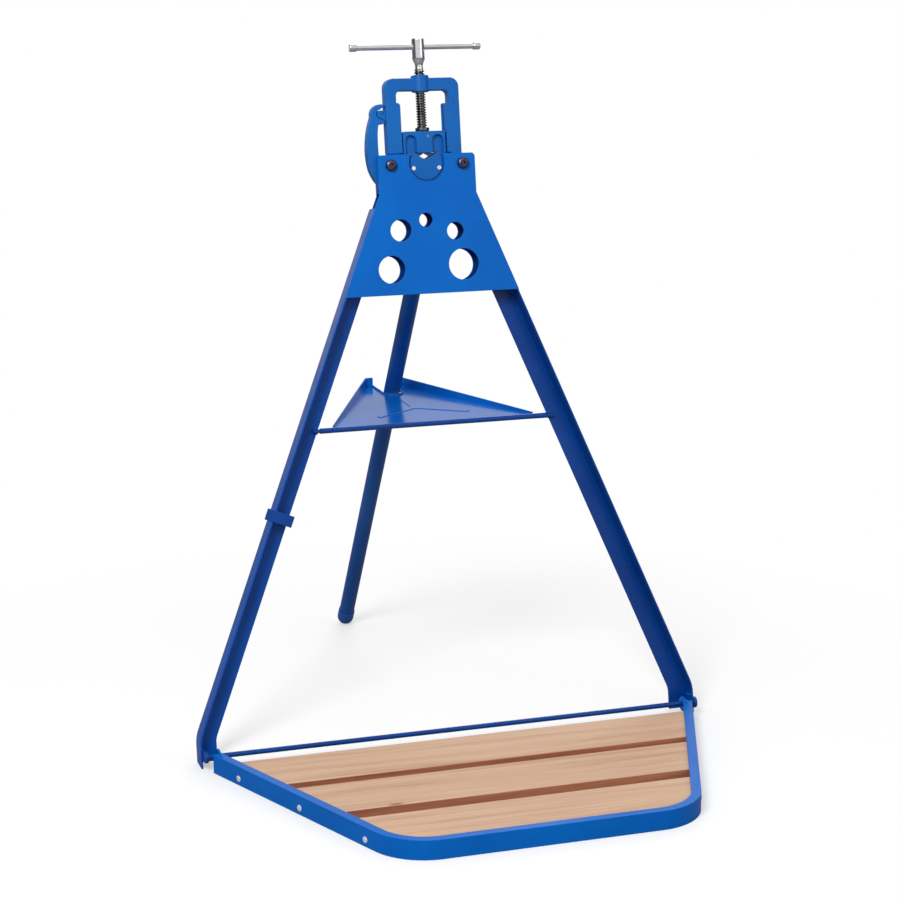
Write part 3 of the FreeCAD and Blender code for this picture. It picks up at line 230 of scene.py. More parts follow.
blue = paint("blue_paint_steel", srgb(1, 106, 198), srgb(0, 95, 186))
# a darker copy of the same blue paint, as painted shade for the right leg, the rear plate, the
# rods, lugs, bracket, clip and the tray's roll
blue_shaded = paint("blue_paint_shaded", srgb(1, 66, 148), srgb(0, 55, 132), shine=0.28)
# the left leg's copy of the paint, lighter than the shaded copy and darker than the plates:
# painted light and shade for how light falls on that leg
blue_left_leg_lit = paint("blue_paint_left_leg_lit", srgb(2, 80, 172), srgb(0, 68, 154), shine=0.22)
blue_tube = paint("blue_paint_tube", srgb(24, 84, 160), srgb(12, 68, 142), shine=0.28)
blue_cast = paint("blue_paint_cast", srgb(10, 103, 184), srgb(4, 88, 166), cast=0.35,
                  rough=(0.30, 0.44), shine=0.22)
blue_tray = paint("blue_paint_tray", srgb(6, 102, 194), srgb(3, 90, 180), rough=(0.14, 0.2),
                  peel=0.04, shine=0.30)


def metal(name, colour, dark, rough=(0.2, 0.35), turn=None, bump=0.15, scale=60.0,
          metallic=1.0):
    """Worked metal; turn stretches its fine lines round a turned piece."""
    m = Mat(name)
    vector = m.mapped(scale=turn) if turn else m.mapped()
    lines = m.noise(scale, vector, detail=6.0, rough=0.6)
    m.set(Base_Color=m.mix(m.ramp(lines, [(0.3, 0.0), (0.7, 1.0)]), dark, colour),
          Metallic=metallic, Normal=m.bump(lines, bump, 0.0003),
          Roughness=m.ramp(m.noise(scale * 0.7, vector), [(0.3, rough[0]), (0.7, rough[1])]))
    return m.material


chrome = metal("chrome_plate", srgb(246, 246, 247), srgb(218, 219, 223), (0.05, 0.12),
               turn=(1, 8, 8), bump=0.03, scale=45.0)
steel_screw = metal("oiled_screw_steel", srgb(132, 131, 130), srgb(62, 61, 61), (0.22, 0.38),
                    scale=160.0)
steel_dark = metal("black_oxide_steel", srgb(104, 98, 122), srgb(54, 48, 70), (0.30, 0.46),
                   bump=0.2, scale=220.0)
steel_bright = metal("bright_steel", srgb(244, 245, 247), srgb(208, 210, 214), (0.28, 0.42),
                     bump=0.08, scale=120.0)
jaw_steel = metal("hardened_jaw_steel", srgb(98, 118, 160), srgb(50, 62, 98), (0.35, 0.5),
                  bump=0.3, scale=180.0)
zinc = metal("zinc_plate", srgb(246, 247, 249), srgb(224, 226, 229), (0.3, 0.45), bump=0.05,
             metallic=0.35)


def moulded(name, colour):
    """Plastic with a fine moulded grain."""
    m = Mat(name)
    m.set(Base_Color=m.mix(m.noise(14.0), colour, dimmed(colour, 0.82)),
          Roughness=m.ramp(m.noise(60.0), [(0.3, 0.42), (0.7, 0.55)]),
          Normal=m.bump(m.noise(900.0, detail=2.0), 0.25, 0.0003))
    return m.material


cap_plastic = moulded("foot_cap_plastic", srgb(26, 84, 166))

PINE_FACE = srgb(211, 175, 145), srgb(200, 161, 131), srgb(185, 144, 113)
# darker, redder tones for the boards' sides: painted shade
PINE_EDGE_SHADE = srgb(186, 122, 88), srgb(166, 102, 72), srgb(134, 78, 54)


def pine(name, shift, tones=PINE_FACE):
    """Planed pine with grain along X; shift makes each board its own."""
    light, mid, dark = tones
    m = Mat(name)

    def spread(*scale):
        return m.mapped(scale=scale, location=shift)

    # growth rings: noise stretched along the board and swayed by a slow wave
    wave = m.node("ShaderNodeCombineXYZ", Y=m.noise(2.2, spread(0.6, 3.0, 3.0), detail=2.0))
    sway = m.node("ShaderNodeVectorMath", "SCALE", Scale=1.6)
    m.put(sway.inputs[0], wave.outputs["Vector"])
    flow = m.ordered("ShaderNodeVectorMath", "ADD", spread(1.1, 26.0, 26.0),
                     sway.outputs["Vector"])
    rings = m.noise(2.4, flow.outputs["Vector"], detail=5.0, rough=0.62, distortion=0.35)
    base = m.ramp(rings, [(0.28, dark), (0.42, mid), (0.58, light), (0.78, mid)])

    fibre = m.noise(9.0, spread(3.0, 95.0, 95.0), detail=4.0, rough=0.7)
    base = m.mix(m.math("MULTIPLY", m.ramp(fibre, [(0.45, 0.0), (0.72, 1.0)]), 0.24), base,
                 dimmed(mid, 0.76))
    blotch = m.noise(3.5, spread(1.0, 2.2, 2.2), detail=2.0)
    base = m.mix(m.math("MULTIPLY", m.ramp(blotch, [(0.5, 0.0), (0.8, 1.0)]), 0.3), base, dark)

    # a few small knots
    cell = m.node("ShaderNodeTexVoronoi", Scale=1.0, Randomness=1.0,
                  Vector=spread(4.5, 13.0, 1.0))
    knot = m.ramp(cell.outputs["Distance"], [(0.02, 1.0), (0.075, 0.0)])
    keep = m.ramp(m.noise(1.7, spread(1, 1, 1), detail=0.0), [(0.52, 0.0), (0.56, 1.0)])
    knot = m.math("MULTIPLY", m.math("MULTIPLY", knot, keep), 0.8)
    m.set(Base_Color=m.mix(knot, base, srgb(128, 80, 54)),
          Roughness=m.ramp(fibre, [(0.3, 0.55), (0.7, 0.72)]),
          Normal=m.bump(fibre, 0.25, 0.0005, m.bump(rings, 0.18, 0.0008)))
    return m.material


WOOD = {"plank_back": pine("pine_back", (0.3, 1.7, 0.2)),
        "plank_middle": pine("pine_middle", (2.1, 0.4, 1.1)),
        "plank_front": pine("pine_front", (5.3, 3.1, 0.6))}
# the boards' sides: pine in the darker, redder tones, as painted shade
WOOD_SIDE_SHADE = pine("pine_sawn_edge_shade", (1.0, 2.0, 3.0), PINE_EDGE_SHADE)

# ------------------------------------------------------------ mesh helpers
SHARP_ANGLE, EASE_ANGLE, FLAT_ANGLE = 32, 35, 0.8    # degrees


def bake(obj):
    """Apply the modifiers of one object."""
    deps = bpy.context.evaluated_depsgraph_get()
    done = bpy.data.meshes.new_from_object(obj.evaluated_get(deps))
    obj.modifiers.clear()
    obj.data = done
    return obj


def finish_mesh(obj, material, smooth_angle=SHARP_ANGLE):
    """Materials, smooth faces split at sharp edges, and normals that keep flats flat."""
    if material:
        obj.data.materials.clear()
        for one in material if isinstance(material, (list, tuple)) else [material]:
            obj.data.materials.append(one)
    obj.data.shade_smooth()
    mesh = bmesh.new()
    mesh.from_mesh(obj.data)
    limit = math.radians(smooth_angle)
    for edge in mesh.edges:
        edge.smooth = len(edge.link_faces) == 2 and edge.calc_face_angle(0) < limit
    mesh.to_mesh(obj.data)
    mesh.free()
    level = obj.modifiers.new("level", "WEIGHTED_NORMAL")
    level.weight = 100
    level.keep_sharp = True
    return bake(obj)


def bevelled(obj, width, segments=2):
    """Give the object a bevel modifier, to be baked."""
    bevel = obj.modifiers.new("ease", "BEVEL")
    bevel.width = width / 1000
    bevel.segments = segments
    bevel.limit_method = "ANGLE"
    return bevel


def link(name, mesh_data):
    obj = bpy.data.objects.new(name, mesh_data)
    scene.collection.objects.link(obj)
    return obj


def from_bmesh(name, mesh):
    data = bpy.data.meshes.new(name)
    bmesh.ops.recalc_face_normals(mesh, faces=mesh.faces)
    mesh.to_mesh(data)
    mesh.free()
    return link(name, data)


def dressed(obj, node):
    """Show the piece in place of a CAD node and move it with that node's body."""
    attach(obj, BODY[node])
    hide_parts(node)
    return obj


def softened(node, width, material, segments=2):
    """The node's own shape with eased edges, shown in its place."""
    obj = link(node + "_dressed", NODES[node].data.copy())
    mesh = bmesh.new()
    mesh.from_mesh(obj.data)
    bmesh.ops.remove_doubles(mesh, verts=mesh.verts, dist=1e-6)
    bmesh.ops.dissolve_limit(mesh, angle_limit=math.radians(FLAT_ANGLE), verts=mesh.verts,
                             edges=mesh.edges)
    mesh.to_mesh(obj.data)
    mesh.free()
    bevel = bevelled(obj, width, segments)
    bevel.angle_limit = math.radians(EASE_ANGLE)
    bevel.use_clamp_overlap = False
    bevel.miter_outer = "MITER_ARC"
    return dressed(finish_mesh(bake(obj), material), node)


def lathe(name, profile, place, material, segments=40):
    """Closed round piece: profile is (radius, height), about the Z axis of `place`."""
    mesh = bmesh.new()
    rings = []
    for radius, height in profile:
        if radius < 1e-6:
            rings.append([mesh.verts.new((0, 0, height / 1000))])
        else:
            rings.append([mesh.verts.new((radius / 1000 * math.cos(math.tau * i / segments),
                                          radius / 1000 * math.sin(math.tau * i / segments),
                                          height / 1000)) for i in range(segments)])
    for a, b in zip(rings, rings[1:]):
        for i in range(segments):
            j = (i + 1) % segments
            corners = []
            for vert in (a[i % len(a)], a[j % len(a)], b[j % len(b)], b[i % len(b)]):
                if vert not in corners:
                    corners.append(vert)
            if len(corners) > 2:
                mesh.faces.new(corners)
    obj = from_bmesh(name, mesh)
    obj.data.transform(place)
    return finish_mesh(obj, material)


def plug(name, radius, low, high, place, sides=40):
    """Plain cylinder or prism to cut with."""
    return lathe(name, [(0, low), (radius, low), (radius, high), (0, high)], place, None, sides)


def slab(name, near, far, material, ease):
    """Flat piece between two equal outlines, given as points in metres."""
    mesh = bmesh.new()
    near, far = ([mesh.verts.new(point) for point in side] for side in (near, far))
    mesh.faces.new(near)
    mesh.faces.new(list(reversed(far)))
    for i in range(len(near)):
        j = (i + 1) % len(near)
        mesh.faces.new([near[j], near[i], far[i], far[j]])
    obj = from_bmesh(name, mesh)
    if ease:
        bevelled(obj, ease)
        bake(obj)
    return finish_mesh(obj, material)


def extruded(name, corners, t0, t1, material=None, ease=0.0):
    """Flat piece of the front frame: (u, v) corners, from depth t0 to t1."""
    near, far = ([stand(u, v, t) for u, v in corners] for t in (t0, t1))
    return slab(name, near, far, material, ease)


def side_plate(name, corners, x0, x1, material=None, ease=0.0):
    """Flat piece of the floor frame: (y, z) corners, from x0 to x1."""
    near, far = ([floor_point(x, y, z) for y, z in corners] for x in (x0, x1))
    return slab(name, near, far, material, ease)


def drop(obj):
    data = obj.data
    bpy.data.objects.remove(obj)
    bpy.data.meshes.remove(data)


def carve(obj, *cutters):
    """Take the cutters out of a piece and throw them away."""
    for cutter in cutters:
        cut = obj.modifiers.new("carve", "BOOLEAN")
        cut.operation = "DIFFERENCE"
        cut.solver = "EXACT"
        cut.object = cutter
        bake(obj)
        drop(cutter)
    return obj


def joined(name, groups, smooth_angle=SHARP_ANGLE):
    """One object from groups of pieces, each group with its own material."""
    mesh = bmesh.new()
    for slot, (_, pieces) in enumerate(groups):
        for piece in pieces:
            before = len(mesh.faces)
            mesh.from_mesh(piece.data)
            mesh.faces.ensure_lookup_table()
            for face in mesh.faces[before:]:
                face.material_index = slot
            drop(piece)
    data = bpy.data.meshes.new(name)
    mesh.to_mesh(data)
    mesh.free()
    for material, _ in groups:
        data.materials.append(material)
    return finish_mesh(link(name, data), None, smooth_angle)


# ---------------------------------------------------------------- outlines
def rect(u0, v0, u1, v1):
    return [(u0, v0), (u1, v0), (u1, v1), (u0, v1)]


def rounded(corners, steps=6):
    """Outline whose corners with a third value are rounded to that radius."""
    out = []
    for i, corner in enumerate(corners):
        here = Vector(corner[:2])
        if len(corner) < 3:
            out.append(tuple(here))
            continue
        back = (Vector(corners[i - 1][:2]) - here).normalized()
        ahead = (Vector(corners[(i + 1) % len(corners)][:2]) - here).normalized()
        half = back.angle(ahead) / 2
        centre = here + (back + ahead).normalized() * corner[2] / math.sin(half)
        first = here + back * corner[2] / math.tan(half) - centre
        last = here + ahead * corner[2] / math.tan(half) - centre
        out += [tuple(centre + first.lerp(last, k / steps).normalized() * corner[2])
                for k in range(steps + 1)]
    return out


def arc(centre, radius, start, end, steps):
    """Points on a circle from one angle to the other, in degrees."""
    turns = [math.radians(start + (end - start) * k / steps) for k in range(steps + 1)]
    return [(centre[0] + radius * math.cos(a), centre[1] + radius * math.sin(a)) for a in turns]


def flowing(points):
    """Smooth curve through the points."""
    steps = 5
    points = [Vector(p) for p in points]
    last = len(points) - 1
    out = []
    for i in range(last):
        before, after = points[max(i - 1, 0)], points[min(i + 2, last)]
        a, b = points[i], points[i + 1]
        for k in range(steps):
            s = k / steps
            out.append(tuple(0.5 * (2 * a + (b - before) * s
                                    + (2 * before - 5 * a + 4 * b - after) * s * s
                                    + (3 * a - before - 3 * b + after) * s ** 3)))
    return out + [tuple(points[-1])]


TOOTH_PITCH, TOOTH_DEPTH = 2.3, 0.9


def toothed(a, b):
    """Points from a to b with teeth cut to the left of the line between them."""
    a, b = Vector(a), Vector(b)
    along = (b - a).normalized()
    out = Vector((-along.y, along.x))
    count = int((b - a).length / TOOTH_PITCH)
    points = []
    for i in range(count):
        start = a.lerp(b, i / count)
        points.append(tuple(start))
        points.append(tuple(start + along * (b - a).length / count * 0.5 + out * TOOTH_DEPTH))
    points.append(tuple(b))
    return points


def thread(name, radius, root, pitch, low, high, place, material):
    """Trapezoidal thread about the Z axis of `place`, run out at both ends."""
    segments = 40
    form = [(0.0, radius), (0.36, radius), (0.5, root), (0.86, root)]
    rows = len(form) * (int((high - low) / pitch) + 3)
    mesh = bmesh.new()
    grid = []
    for k in range(segments):
        turn = math.tau * k / segments
        column = []
        for m in range(rows):
            step, reach = form[m % len(form)]
            z = low + pitch * (m // len(form) - 1 + step + k / segments)
            z = min(max(z, low), high)
            r = max(root, min(reach, root + (z - low), root + (high - z)))
            column.append(mesh.verts.new((r / 1000 * math.cos(turn), r / 1000 * math.sin(turn),
                                          z / 1000)))
        grid.append(column)
    for k in range(segments):
        # the last column meets the first one turn higher up
        shift = len(form) if k == segments - 1 else 0
        other = grid[(k + 1) % segments]
        for m in range(rows - len(form) - 1):
            mesh.faces.new([grid[k][m], other[m + shift], other[m + 1 + shift], grid[k][m + 1]])
    bmesh.ops.remove_doubles(mesh, verts=mesh.verts, dist=2e-6)
    obj = from_bmesh(name, mesh)
    obj.data.transform(place)
    return finish_mesh(obj, material, 25)


BEAD_RIPPLE, BEAD_PITCH, BEAD_SIDES = 0.18, 2.6, 10


def bead(name, points, radius, body, material):
    """Weld bead along points given in metres: a rippled round seam."""
    path = []
    for a, b in zip(points, points[1:]):
        steps = max(2, int((b - a).length * 1000 / (BEAD_PITCH / 3)))
        path += [a.lerp(b, i / steps) for i in range(steps)]
    path.append(points[-1])
    last = len(path) - 1
    mesh = bmesh.new()
    rings = []
    for i, p in enumerate(path):
        ahead = path[min(i + 1, last)] - path[max(i - 1, 0)]
        ahead.normalize()
        side = ahead.orthogonal().normalized()
        up = ahead.cross(side).normalized()
        swell = 1 + BEAD_RIPPLE * math.sin(math.tau * i / 3.0) + rng.uniform(-0.06, 0.06)
        swell *= min(1.0, 0.35 + 0.3 * min(i, last - i))
        rings.append([mesh.verts.new(p + (side * math.cos(math.tau * k / BEAD_SIDES)
                                          + up * math.sin(math.tau * k / BEAD_SIDES))
                                     * radius / 1000 * swell) for k in range(BEAD_SIDES)])
    for a, b in zip(rings, rings[1:]):
        for k in range(BEAD_SIDES):
            j = (k + 1) % BEAD_SIDES
            mesh.faces.new([a[k], a[j], b[j], b[k]])
    mesh.faces.new(list(reversed(rings[0])))
    mesh.faces.new(rings[-1])
    obj = from_bmesh(name, mesh)
    finish_mesh(obj, material, 60)
    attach(obj, body)


# -------------------------------------------------------------- legs, plates, rail
# the right leg, the rear plate and the small parts under the plates take the shaded copy of the
# paint, and the left leg its lighter copy: painted light and shade
for node, ease, coat in (("left_leg", 1.1, blue_left_leg_lit), ("right_leg", 1.1, blue_shaded),
                         ("front_plate", 0.7, blue), ("rear_plate", 0.7, blue_shaded),
                         ("platform_lug_left", 0.6, blue_shaded),
                         ("platform_lug_right", 0.6, blue_shaded),
                         ("rear_leg_bracket", 0.6, blue_shaded), ("leg_clip", 0.6, blue_shaded),
                         ("platform_rail", 1.0, blue), ("rear_leg_tube", 0.5, blue_tube)):
    softened(node, ease, coat)

# --------------------------------------------------------------------- tray
along_rod = across(0, *TRAY_ROD)
rod_at = stand(0, *TRAY_ROD) * 1000


def behind_rod(*points):
    """Outline measured from the tray rod: back and up."""
    return [(rod_at.y - FRAME_Y + y, rod_at.z + z) for y, z in points]


# the side walls rise from the hinge to the far tips, and the front edge is rolled round
# the rod
pan = softened("tray_pan", 0.35, blue_tray)
carve(pan,
      side_plate("wedge_cutter",
                 behind_rod((-9, 6.1), (7, 6.1), (296, 17.4), (296, 30), (-9, 30)), -220, 220),
      plug("roll_cutter", 6.6, -230, 230, along_rod))
lip = side_plate("pan_lip", behind_rod((1.5, 1.05), (7.2, 1.05), (7.2, 2.45), (1.5, 2.45)),
                 -TRAY_HALF, TRAY_HALF)
roll = lathe("pan_roll", [(3.05, -TRAY_HALF), (4.2, -TRAY_HALF), (4.2, TRAY_HALF),
                          (3.05, TRAY_HALF), (3.05, -TRAY_HALF)], along_rod, None, 28)
# the roll, the tray rod and its sleeves take the shaded copy of the paint: painted shade
dressed(joined("tray_pan_formed", [(blue_tray, [pan, lip]), (blue_shaded, [roll])]), "tray_pan")

dressed(lathe("tray_rod_dressed",
              [(0, -TRAY_ROD_HALF), (2.6, -TRAY_ROD_HALF), (3.0, 0.6 - TRAY_ROD_HALF),
               (3.0, TRAY_ROD_HALF - 0.6), (2.6, TRAY_ROD_HALF), (0, TRAY_ROD_HALF)],
              along_rod, blue_shaded, 24), "tray_rod")
for node in ("tray_spacer_left", "tray_spacer_right"):
    low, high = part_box(node)
    a, b = sorted((low.x * 1000, high.x * 1000))
    sleeve = lathe(node + "_dressed", [(3.05, a), (3.9, a), (4.3, a + 0.5), (4.3, b - 0.5),
                                       (3.9, b), (3.05, b), (3.05, a)], along_rod, blue_shaded, 28)
    dressed(sleeve, node)

# -------------------------------------------------------- hinge of the platform
# the platform rod takes the shaded copy of the paint: painted shade
dressed(lathe("platform_rod_dressed",
              [(0, -PLATFORM_ROD_HALF), (3.0, -PLATFORM_ROD_HALF),
               (4.0, 1 - PLATFORM_ROD_HALF), (4.0, PLATFORM_ROD_HALF - 1),
               (3.0, PLATFORM_ROD_HALF), (0, PLATFORM_ROD_HALF)],
              across(0, *PLATFORM_ROD), blue_shaded, 28), "platform_rod")
rod_v, rod_t = PLATFORM_ROD
rod_y, rod_z = rod_v * SIN + rod_t * COS, rod_v * COS - rod_t * SIN
ear_outline = rounded([(rod_y + 12.6, rod_z - 13, 12), (rod_y + 12.6, rod_z + 11.5, 10),
                       (-44, 29.8), (-44, rod_z - 13, 3)])
for node, sign in (("platform_ear_left", -1), ("platform_ear_right", 1)):
    ear = side_plate(node + "_dressed", ear_outline, sign * 386.1, sign * 389.9, blue, 0.5)
    dressed(ear, node)

# ------------------------------------------------------------ foot cap and boards
softened("rear_foot_cap", 0.4, cap_plastic)
for node, top in WOOD.items():
    board = softened(node, 1.4, [top, WOOD_SIDE_SHADE])
    # planed above and below, sawn all round; the sides take the darker, redder pine as painted
    # shade
    for face in board.data.polygons:
        face.material_index = 0 if abs(face.normal.z) > 0.8 else 1

# --------------------------------------------------------------- vise base, yoke
base = softened("vise_base", 1.2, blue_cast)
groove = lathe("groove_cutter", [(25.8, -2.6), (29.6, -2.6), (29.6, 1), (25.8, 1), (25.8, -2.6)],
               facing_front(0, 915, 0), None, 72)
finish_mesh(carve(base, groove), blue_cast)

screw_axis = upward(0, 0, MID_T)
eye_at = facing_front(BOLT_HALF, BOLT_HEIGHT, YOKE_FRONT)
EYE_BORE, NUT_BORE = 6.05, 8.1
arch = extruded("yoke_arch",
                rounded([(-YOKE_HALF, ARM_LOW), (-YOKE_HALF, YOKE_TOP, 14),
                         (YOKE_HALF, YOKE_TOP, 14), (YOKE_HALF, BOLT_HEIGHT),
                         (44, BOLT_HEIGHT), (WINDOW_HALF, ARM_LOW),
                         (WINDOW_HALF, WINDOW_TOP, 7), (-WINDOW_HALF, WINDOW_TOP, 7),
                         (-WINDOW_HALF, ARM_LOW)]), YOKE_FRONT, YOKE_BACK, blue_cast, 2.0)
carve(arch, plug("pin_cutter", EYE_BORE, -30, 10, eye_at),
      plug("nut_cutter", NUT_BORE, 1020, 1060, screw_axis))
eye = lathe("yoke_eye", [(EYE_BORE, -20), (13.5, -20), (15, -18.5), (15, -1.5), (13.5, 0),
                         (EYE_BORE, 0), (EYE_BORE, -20)], eye_at, None, 56)
boss = lathe("yoke_boss", [(NUT_BORE, 1026), (12.8, 1026), (14.3, 1027.5), (14.3, 1050.2),
                           (12.8, 1052), (NUT_BORE, 1052), (NUT_BORE, 1026)],
             screw_axis, None, 56)
lug = extruded("yoke_lug", [(-59, 981.3), (-59, 999), (-68.5, 999), (-68.5, 987)], 6, 18,
               ease=0.8)
nose = lathe("yoke_nose", [(0, -12), (5.2, -12), (6, -11.2), (6, -0.8), (5.2, 0), (0, 0)],
             facing_front(*NOSE, 6), None, 40)
# ribs on the inner edges, in front of the ears of the carriage
ribs = [extruded("yoke_rib", rounded([(s * 36.7, 931.2), (s * 43.2, 931.2),
                                      (s * 43.2, 1009.5), (s * 36.7, 1009.5, 5)]),
                 2.4, 11.6, ease=0.6) for s in (-1, 1)]
dressed(joined("yoke_dressed", [(blue_cast, [arch, eye, boss, lug, nose, *ribs])]), "yoke")

# ---------------------------------------------------------------- latch arm
# an even bow from the pivot up to the round hook that holds the nose of the yoke
KNUCKLE, NOSE_SEAT = 15.5, 7
bow = (arc(NOSE, KNUCKLE, 65, 188, 18)
       + flowing([(-84.2, 989.0), (-89.0, 974.0), (-92.6, 955.0), (-93.8, 932.0),
                  (-90.6, 908.0), (-83.5, 892.0), (-77.2, 884.0)])[1:]
       + arc(LATCH_PIVOT, 11, 185, 350, 14)
       + flowing([(-55.8, 888.0), (-62.0, 896.0), (-70.2, 909.0), (-74.6, 931.0),
                  (-75.0, 951.0), (-74.4, 966.0), (-72.6, 978.0)])
       + arc(NOSE, KNUCKLE, 266, 294, 5) + [(-62.2, 982.0), (-68.0, 985.6)]
       + arc(NOSE, NOSE_SEAT, 254, 98, 16) + [(-61.9, 1004.9)])
arm = extruded("latch_arm_dressed", bow, 5.1, 20.9, blue_cast, 1.1)
pin_hole = plug("pin_cutter", 4.05, -30, 30, facing_front(*LATCH_PIVOT, 13), 32)
dressed(finish_mesh(carve(arm, pin_hole), blue_cast), "latch_arm")

# -------------------------------------------------------------- jaw carriage
# a bar with two arched recesses, ears between the arms of the yoke and flanges behind them
right_half = [(0, 931.2), (12, 931.2), (12, 932.1), (27.4, 932.1), (27.4, CARRIAGE_LOW),
              (34.6, CARRIAGE_LOW), (34.6, CARRIAGE_TOP, 3)]
left_half = [(-corner[0],) + corner[1:] for corner in reversed(right_half[1:])]
bar = extruded("carriage_bar", rounded(right_half + left_half), 4, 20, blue_cast, 0.7)
carve(bar,
      *[extruded("arch_cutter",
                 rounded([(s * 13.0, 925), (s * 31.2, 925), (s * 31.2, 959.5, 9),
                          (s * 13.0, 959.5, 9)], 10), 2, 10.5) for s in (-1, 1)],
      extruded("pocket_cutter", rect(-12, 925, 12, 945), MID_T - 3.05, MID_T + 3.05),
      plug("seat_cutter", 6.05, 948.7, 970, screw_axis),
      plug("keep_cutter", 2.0, -20, 20, facing_front(KEEP_U, KEEP_HEIGHT, MID_T), 24))
guides = []
for s in (-1, 1):
    guides.append(extruded("ear", rect(s * 33.0, CARRIAGE_LOW, s * 42.1, CARRIAGE_TOP),
                           MID_T, 26.2, blue_cast, 0.8))
    guides.append(extruded("flange",
                           rounded([(s * 36.5, CARRIAGE_LOW), (s * 50, CARRIAGE_LOW, 4),
                                    (s * 50, 1009, 5), (s * 36.5, 1009, 3)]),
                           22.4, 26.3, blue_cast, 0.8))
dressed(joined("jaw_carriage_dressed", [(blue_cast, [bar, *guides])]), "jaw_carriage")

# --------------------------------------------------------------------- jaws
lower = ([(-JAW_HALF, JAW_LOW), (JAW_HALF, JAW_LOW), (JAW_HALF, JAW_LIP)]
         + toothed((VEE_HALF, JAW_LIP), (0, JAW_APEX))
         + toothed((0, JAW_APEX), (-VEE_HALF, JAW_LIP))[1:]
         + [(-JAW_HALF, JAW_LIP)])
insert = extruded("lower_jaw_dressed", lower, 5.05, 20.95, jaw_steel)
slot = extruded("slot_cutter", rect(-40, BLADE_LOW - 1, 40, 950), MID_T - 3.3, MID_T + 3.3)
dressed(finish_mesh(carve(insert, slot), jaw_steel), "lower_jaw")

upper = ([(-TANG_HALF, TANG_TOP), (-TANG_HALF, BLADE_TOP), (-VEE_HALF, BLADE_TOP)]
         + toothed((-VEE_HALF, BLADE_LOW), (0, BLADE_APEX))
         + toothed((0, BLADE_APEX), (VEE_HALF, BLADE_LOW))[1:]
         + [(VEE_HALF, BLADE_TOP), (TANG_HALF, BLADE_TOP), (TANG_HALF, TANG_TOP)])
dressed(extruded("upper_jaw_dressed", upper, MID_T - 3, MID_T + 3, jaw_steel), "upper_jaw")

# ------------------------------------------------------- bolts, nuts and pins
shank = NUT_BACK - HEAD_FRONT
for node, u in (("base_bolt", -BOLT_HALF), ("yoke_pin", BOLT_HALF)):
    place = facing_front(u, BOLT_HEIGHT, HEAD_FRONT)
    body = lathe(node + "_body",
                 [(0, -shank - 1), (4.9, -shank - 1), (4.9, -shank + 6), (5.98, -shank + 7),
                  (5.98, 0), (8.6, 0), (9.0, 0.5), (9.0, 3.6), (8.7, 4.7), (7.9, 5.8),
                  (6.6, 6.6), (5.0, 7.0), (0, 7.0)], place, steel_dark, 48)
    carve(body, plug("socket_cutter", 3.9, 3.0, 9.0, place, 6))
    tip = thread(node + "_tip", 5.95, 5.1, 1.75, -shank - 2, -shank + 7, place, steel_dark)
    dressed(joined(node + "_dressed", [(steel_dark, [body, tip])]), node)
for node in ("base_nut", "yoke_nut"):
    softened(node, 0.8, steel_dark)

for node, u in (("jaw_screw_left", -21.0), ("jaw_screw_right", 21.0)):
    place = facing_front(u, JAW_LOW + 7, 0)
    body = lathe(node + "_dressed", [(0, -14), (1.95, -14), (1.95, 0), (3.4, 0), (3.5, 0.3),
                                     (3.35, 1.1), (2.6, 1.8), (1.4, 2.0), (0, 2.0)],
                 place, zinc, 32)
    dressed(finish_mesh(carve(body, plug("socket_cutter", 1.5, 0.9, 3.0, place, 6)), zinc), node)

softened("latch_pin", 0.4, steel_bright)
keep = lathe("keep_pin_dressed", [(1.25, -7.9), (1.7, -7.9), (1.95, -7.4), (1.95, 7.0),
                                  (1.7, 7.5), (1.25, 7.5), (1.25, -7.9)],
             facing_front(KEEP_U, KEEP_HEIGHT, MID_T), steel_bright, 28)
dressed(keep, "keep_pin")

GRIP = 18.2                             # half the length between the rivet's heads
rivet = lathe("rear_leg_pin_dressed",
              [(0, -GRIP - 4), (3.0, -GRIP - 4), (5.4, -GRIP - 3.2), (7.2, -GRIP - 1.6),
               (7.9, -GRIP), (4.98, -GRIP), (4.98, GRIP), (7.9, GRIP), (7.2, GRIP + 1.6),
               (5.4, GRIP + 3.2), (3.0, GRIP + 4), (0, GRIP + 4)],
              across(0, *LEG_PIVOT), steel_dark, 40)
dressed(rivet, "rear_leg_pin")

# ---------------------------------------------------------- screw and T-bar
ROOT, CREST, LEAD = 5.9, 7.95, 4.0
spindle = thread("spindle_thread", CREST, ROOT, LEAD, CARRIAGE_TOP + 0.6, THREAD_TOP,
                 screw_axis, steel_screw)
journal = lathe("spindle_journal",
                [(0, JOURNAL_LOW), (ROOT, JOURNAL_LOW), (ROOT, KEEP_HEIGHT - 2.5),
                 (4.9, KEEP_HEIGHT - 2.5), (4.9, KEEP_HEIGHT + 2.5), (ROOT, KEEP_HEIGHT + 2.5),
                 (ROOT, THREAD_TOP), (0, THREAD_TOP)], screw_axis, steel_screw)
hub = lathe("spindle_hub",
            [(0, THREAD_TOP - 3), (6.6, THREAD_TOP - 3), (6.6, THREAD_TOP + 1.5),
             (6.1, THREAD_TOP + 3.5), (6.4, HUB_LOW - 3), (7.4, HUB_LOW), (8.9, HUB_LOW + 3),
             (9.8, HUB_LOW + 6), (10.0, HUB_LOW + 9), (10.0, HUB_TOP - 4.6),
             (9.5, HUB_TOP - 3.3), (8.4, HUB_TOP - 2.6), (7.4, HUB_TOP - 2.4),
             (0, HUB_TOP - 2.4)], screw_axis, chrome, 64)
carve(hub, plug("bar_cutter", 4.6, -20, 20, across(0, (NECK_TOP + HUB_TOP) / 2, MID_T)))
dressed(joined("vise_screw_dressed", [(steel_screw, [spindle, journal]), (chrome, [hub])], 28),
        "vise_screw")
softened("screw_collar", 0.8, steel_screw, segments=3)
softened("handle_bar", 0.3, chrome)
for node in ("handle_end_left", "handle_end_right"):
    softened(node, 1.8, chrome, segments=4)

# ------------------------------------------------------------ board screws
BOARD_DEEP, RAIL_HALF, SCREW_HEIGHT = 110.8, 407.7, 11
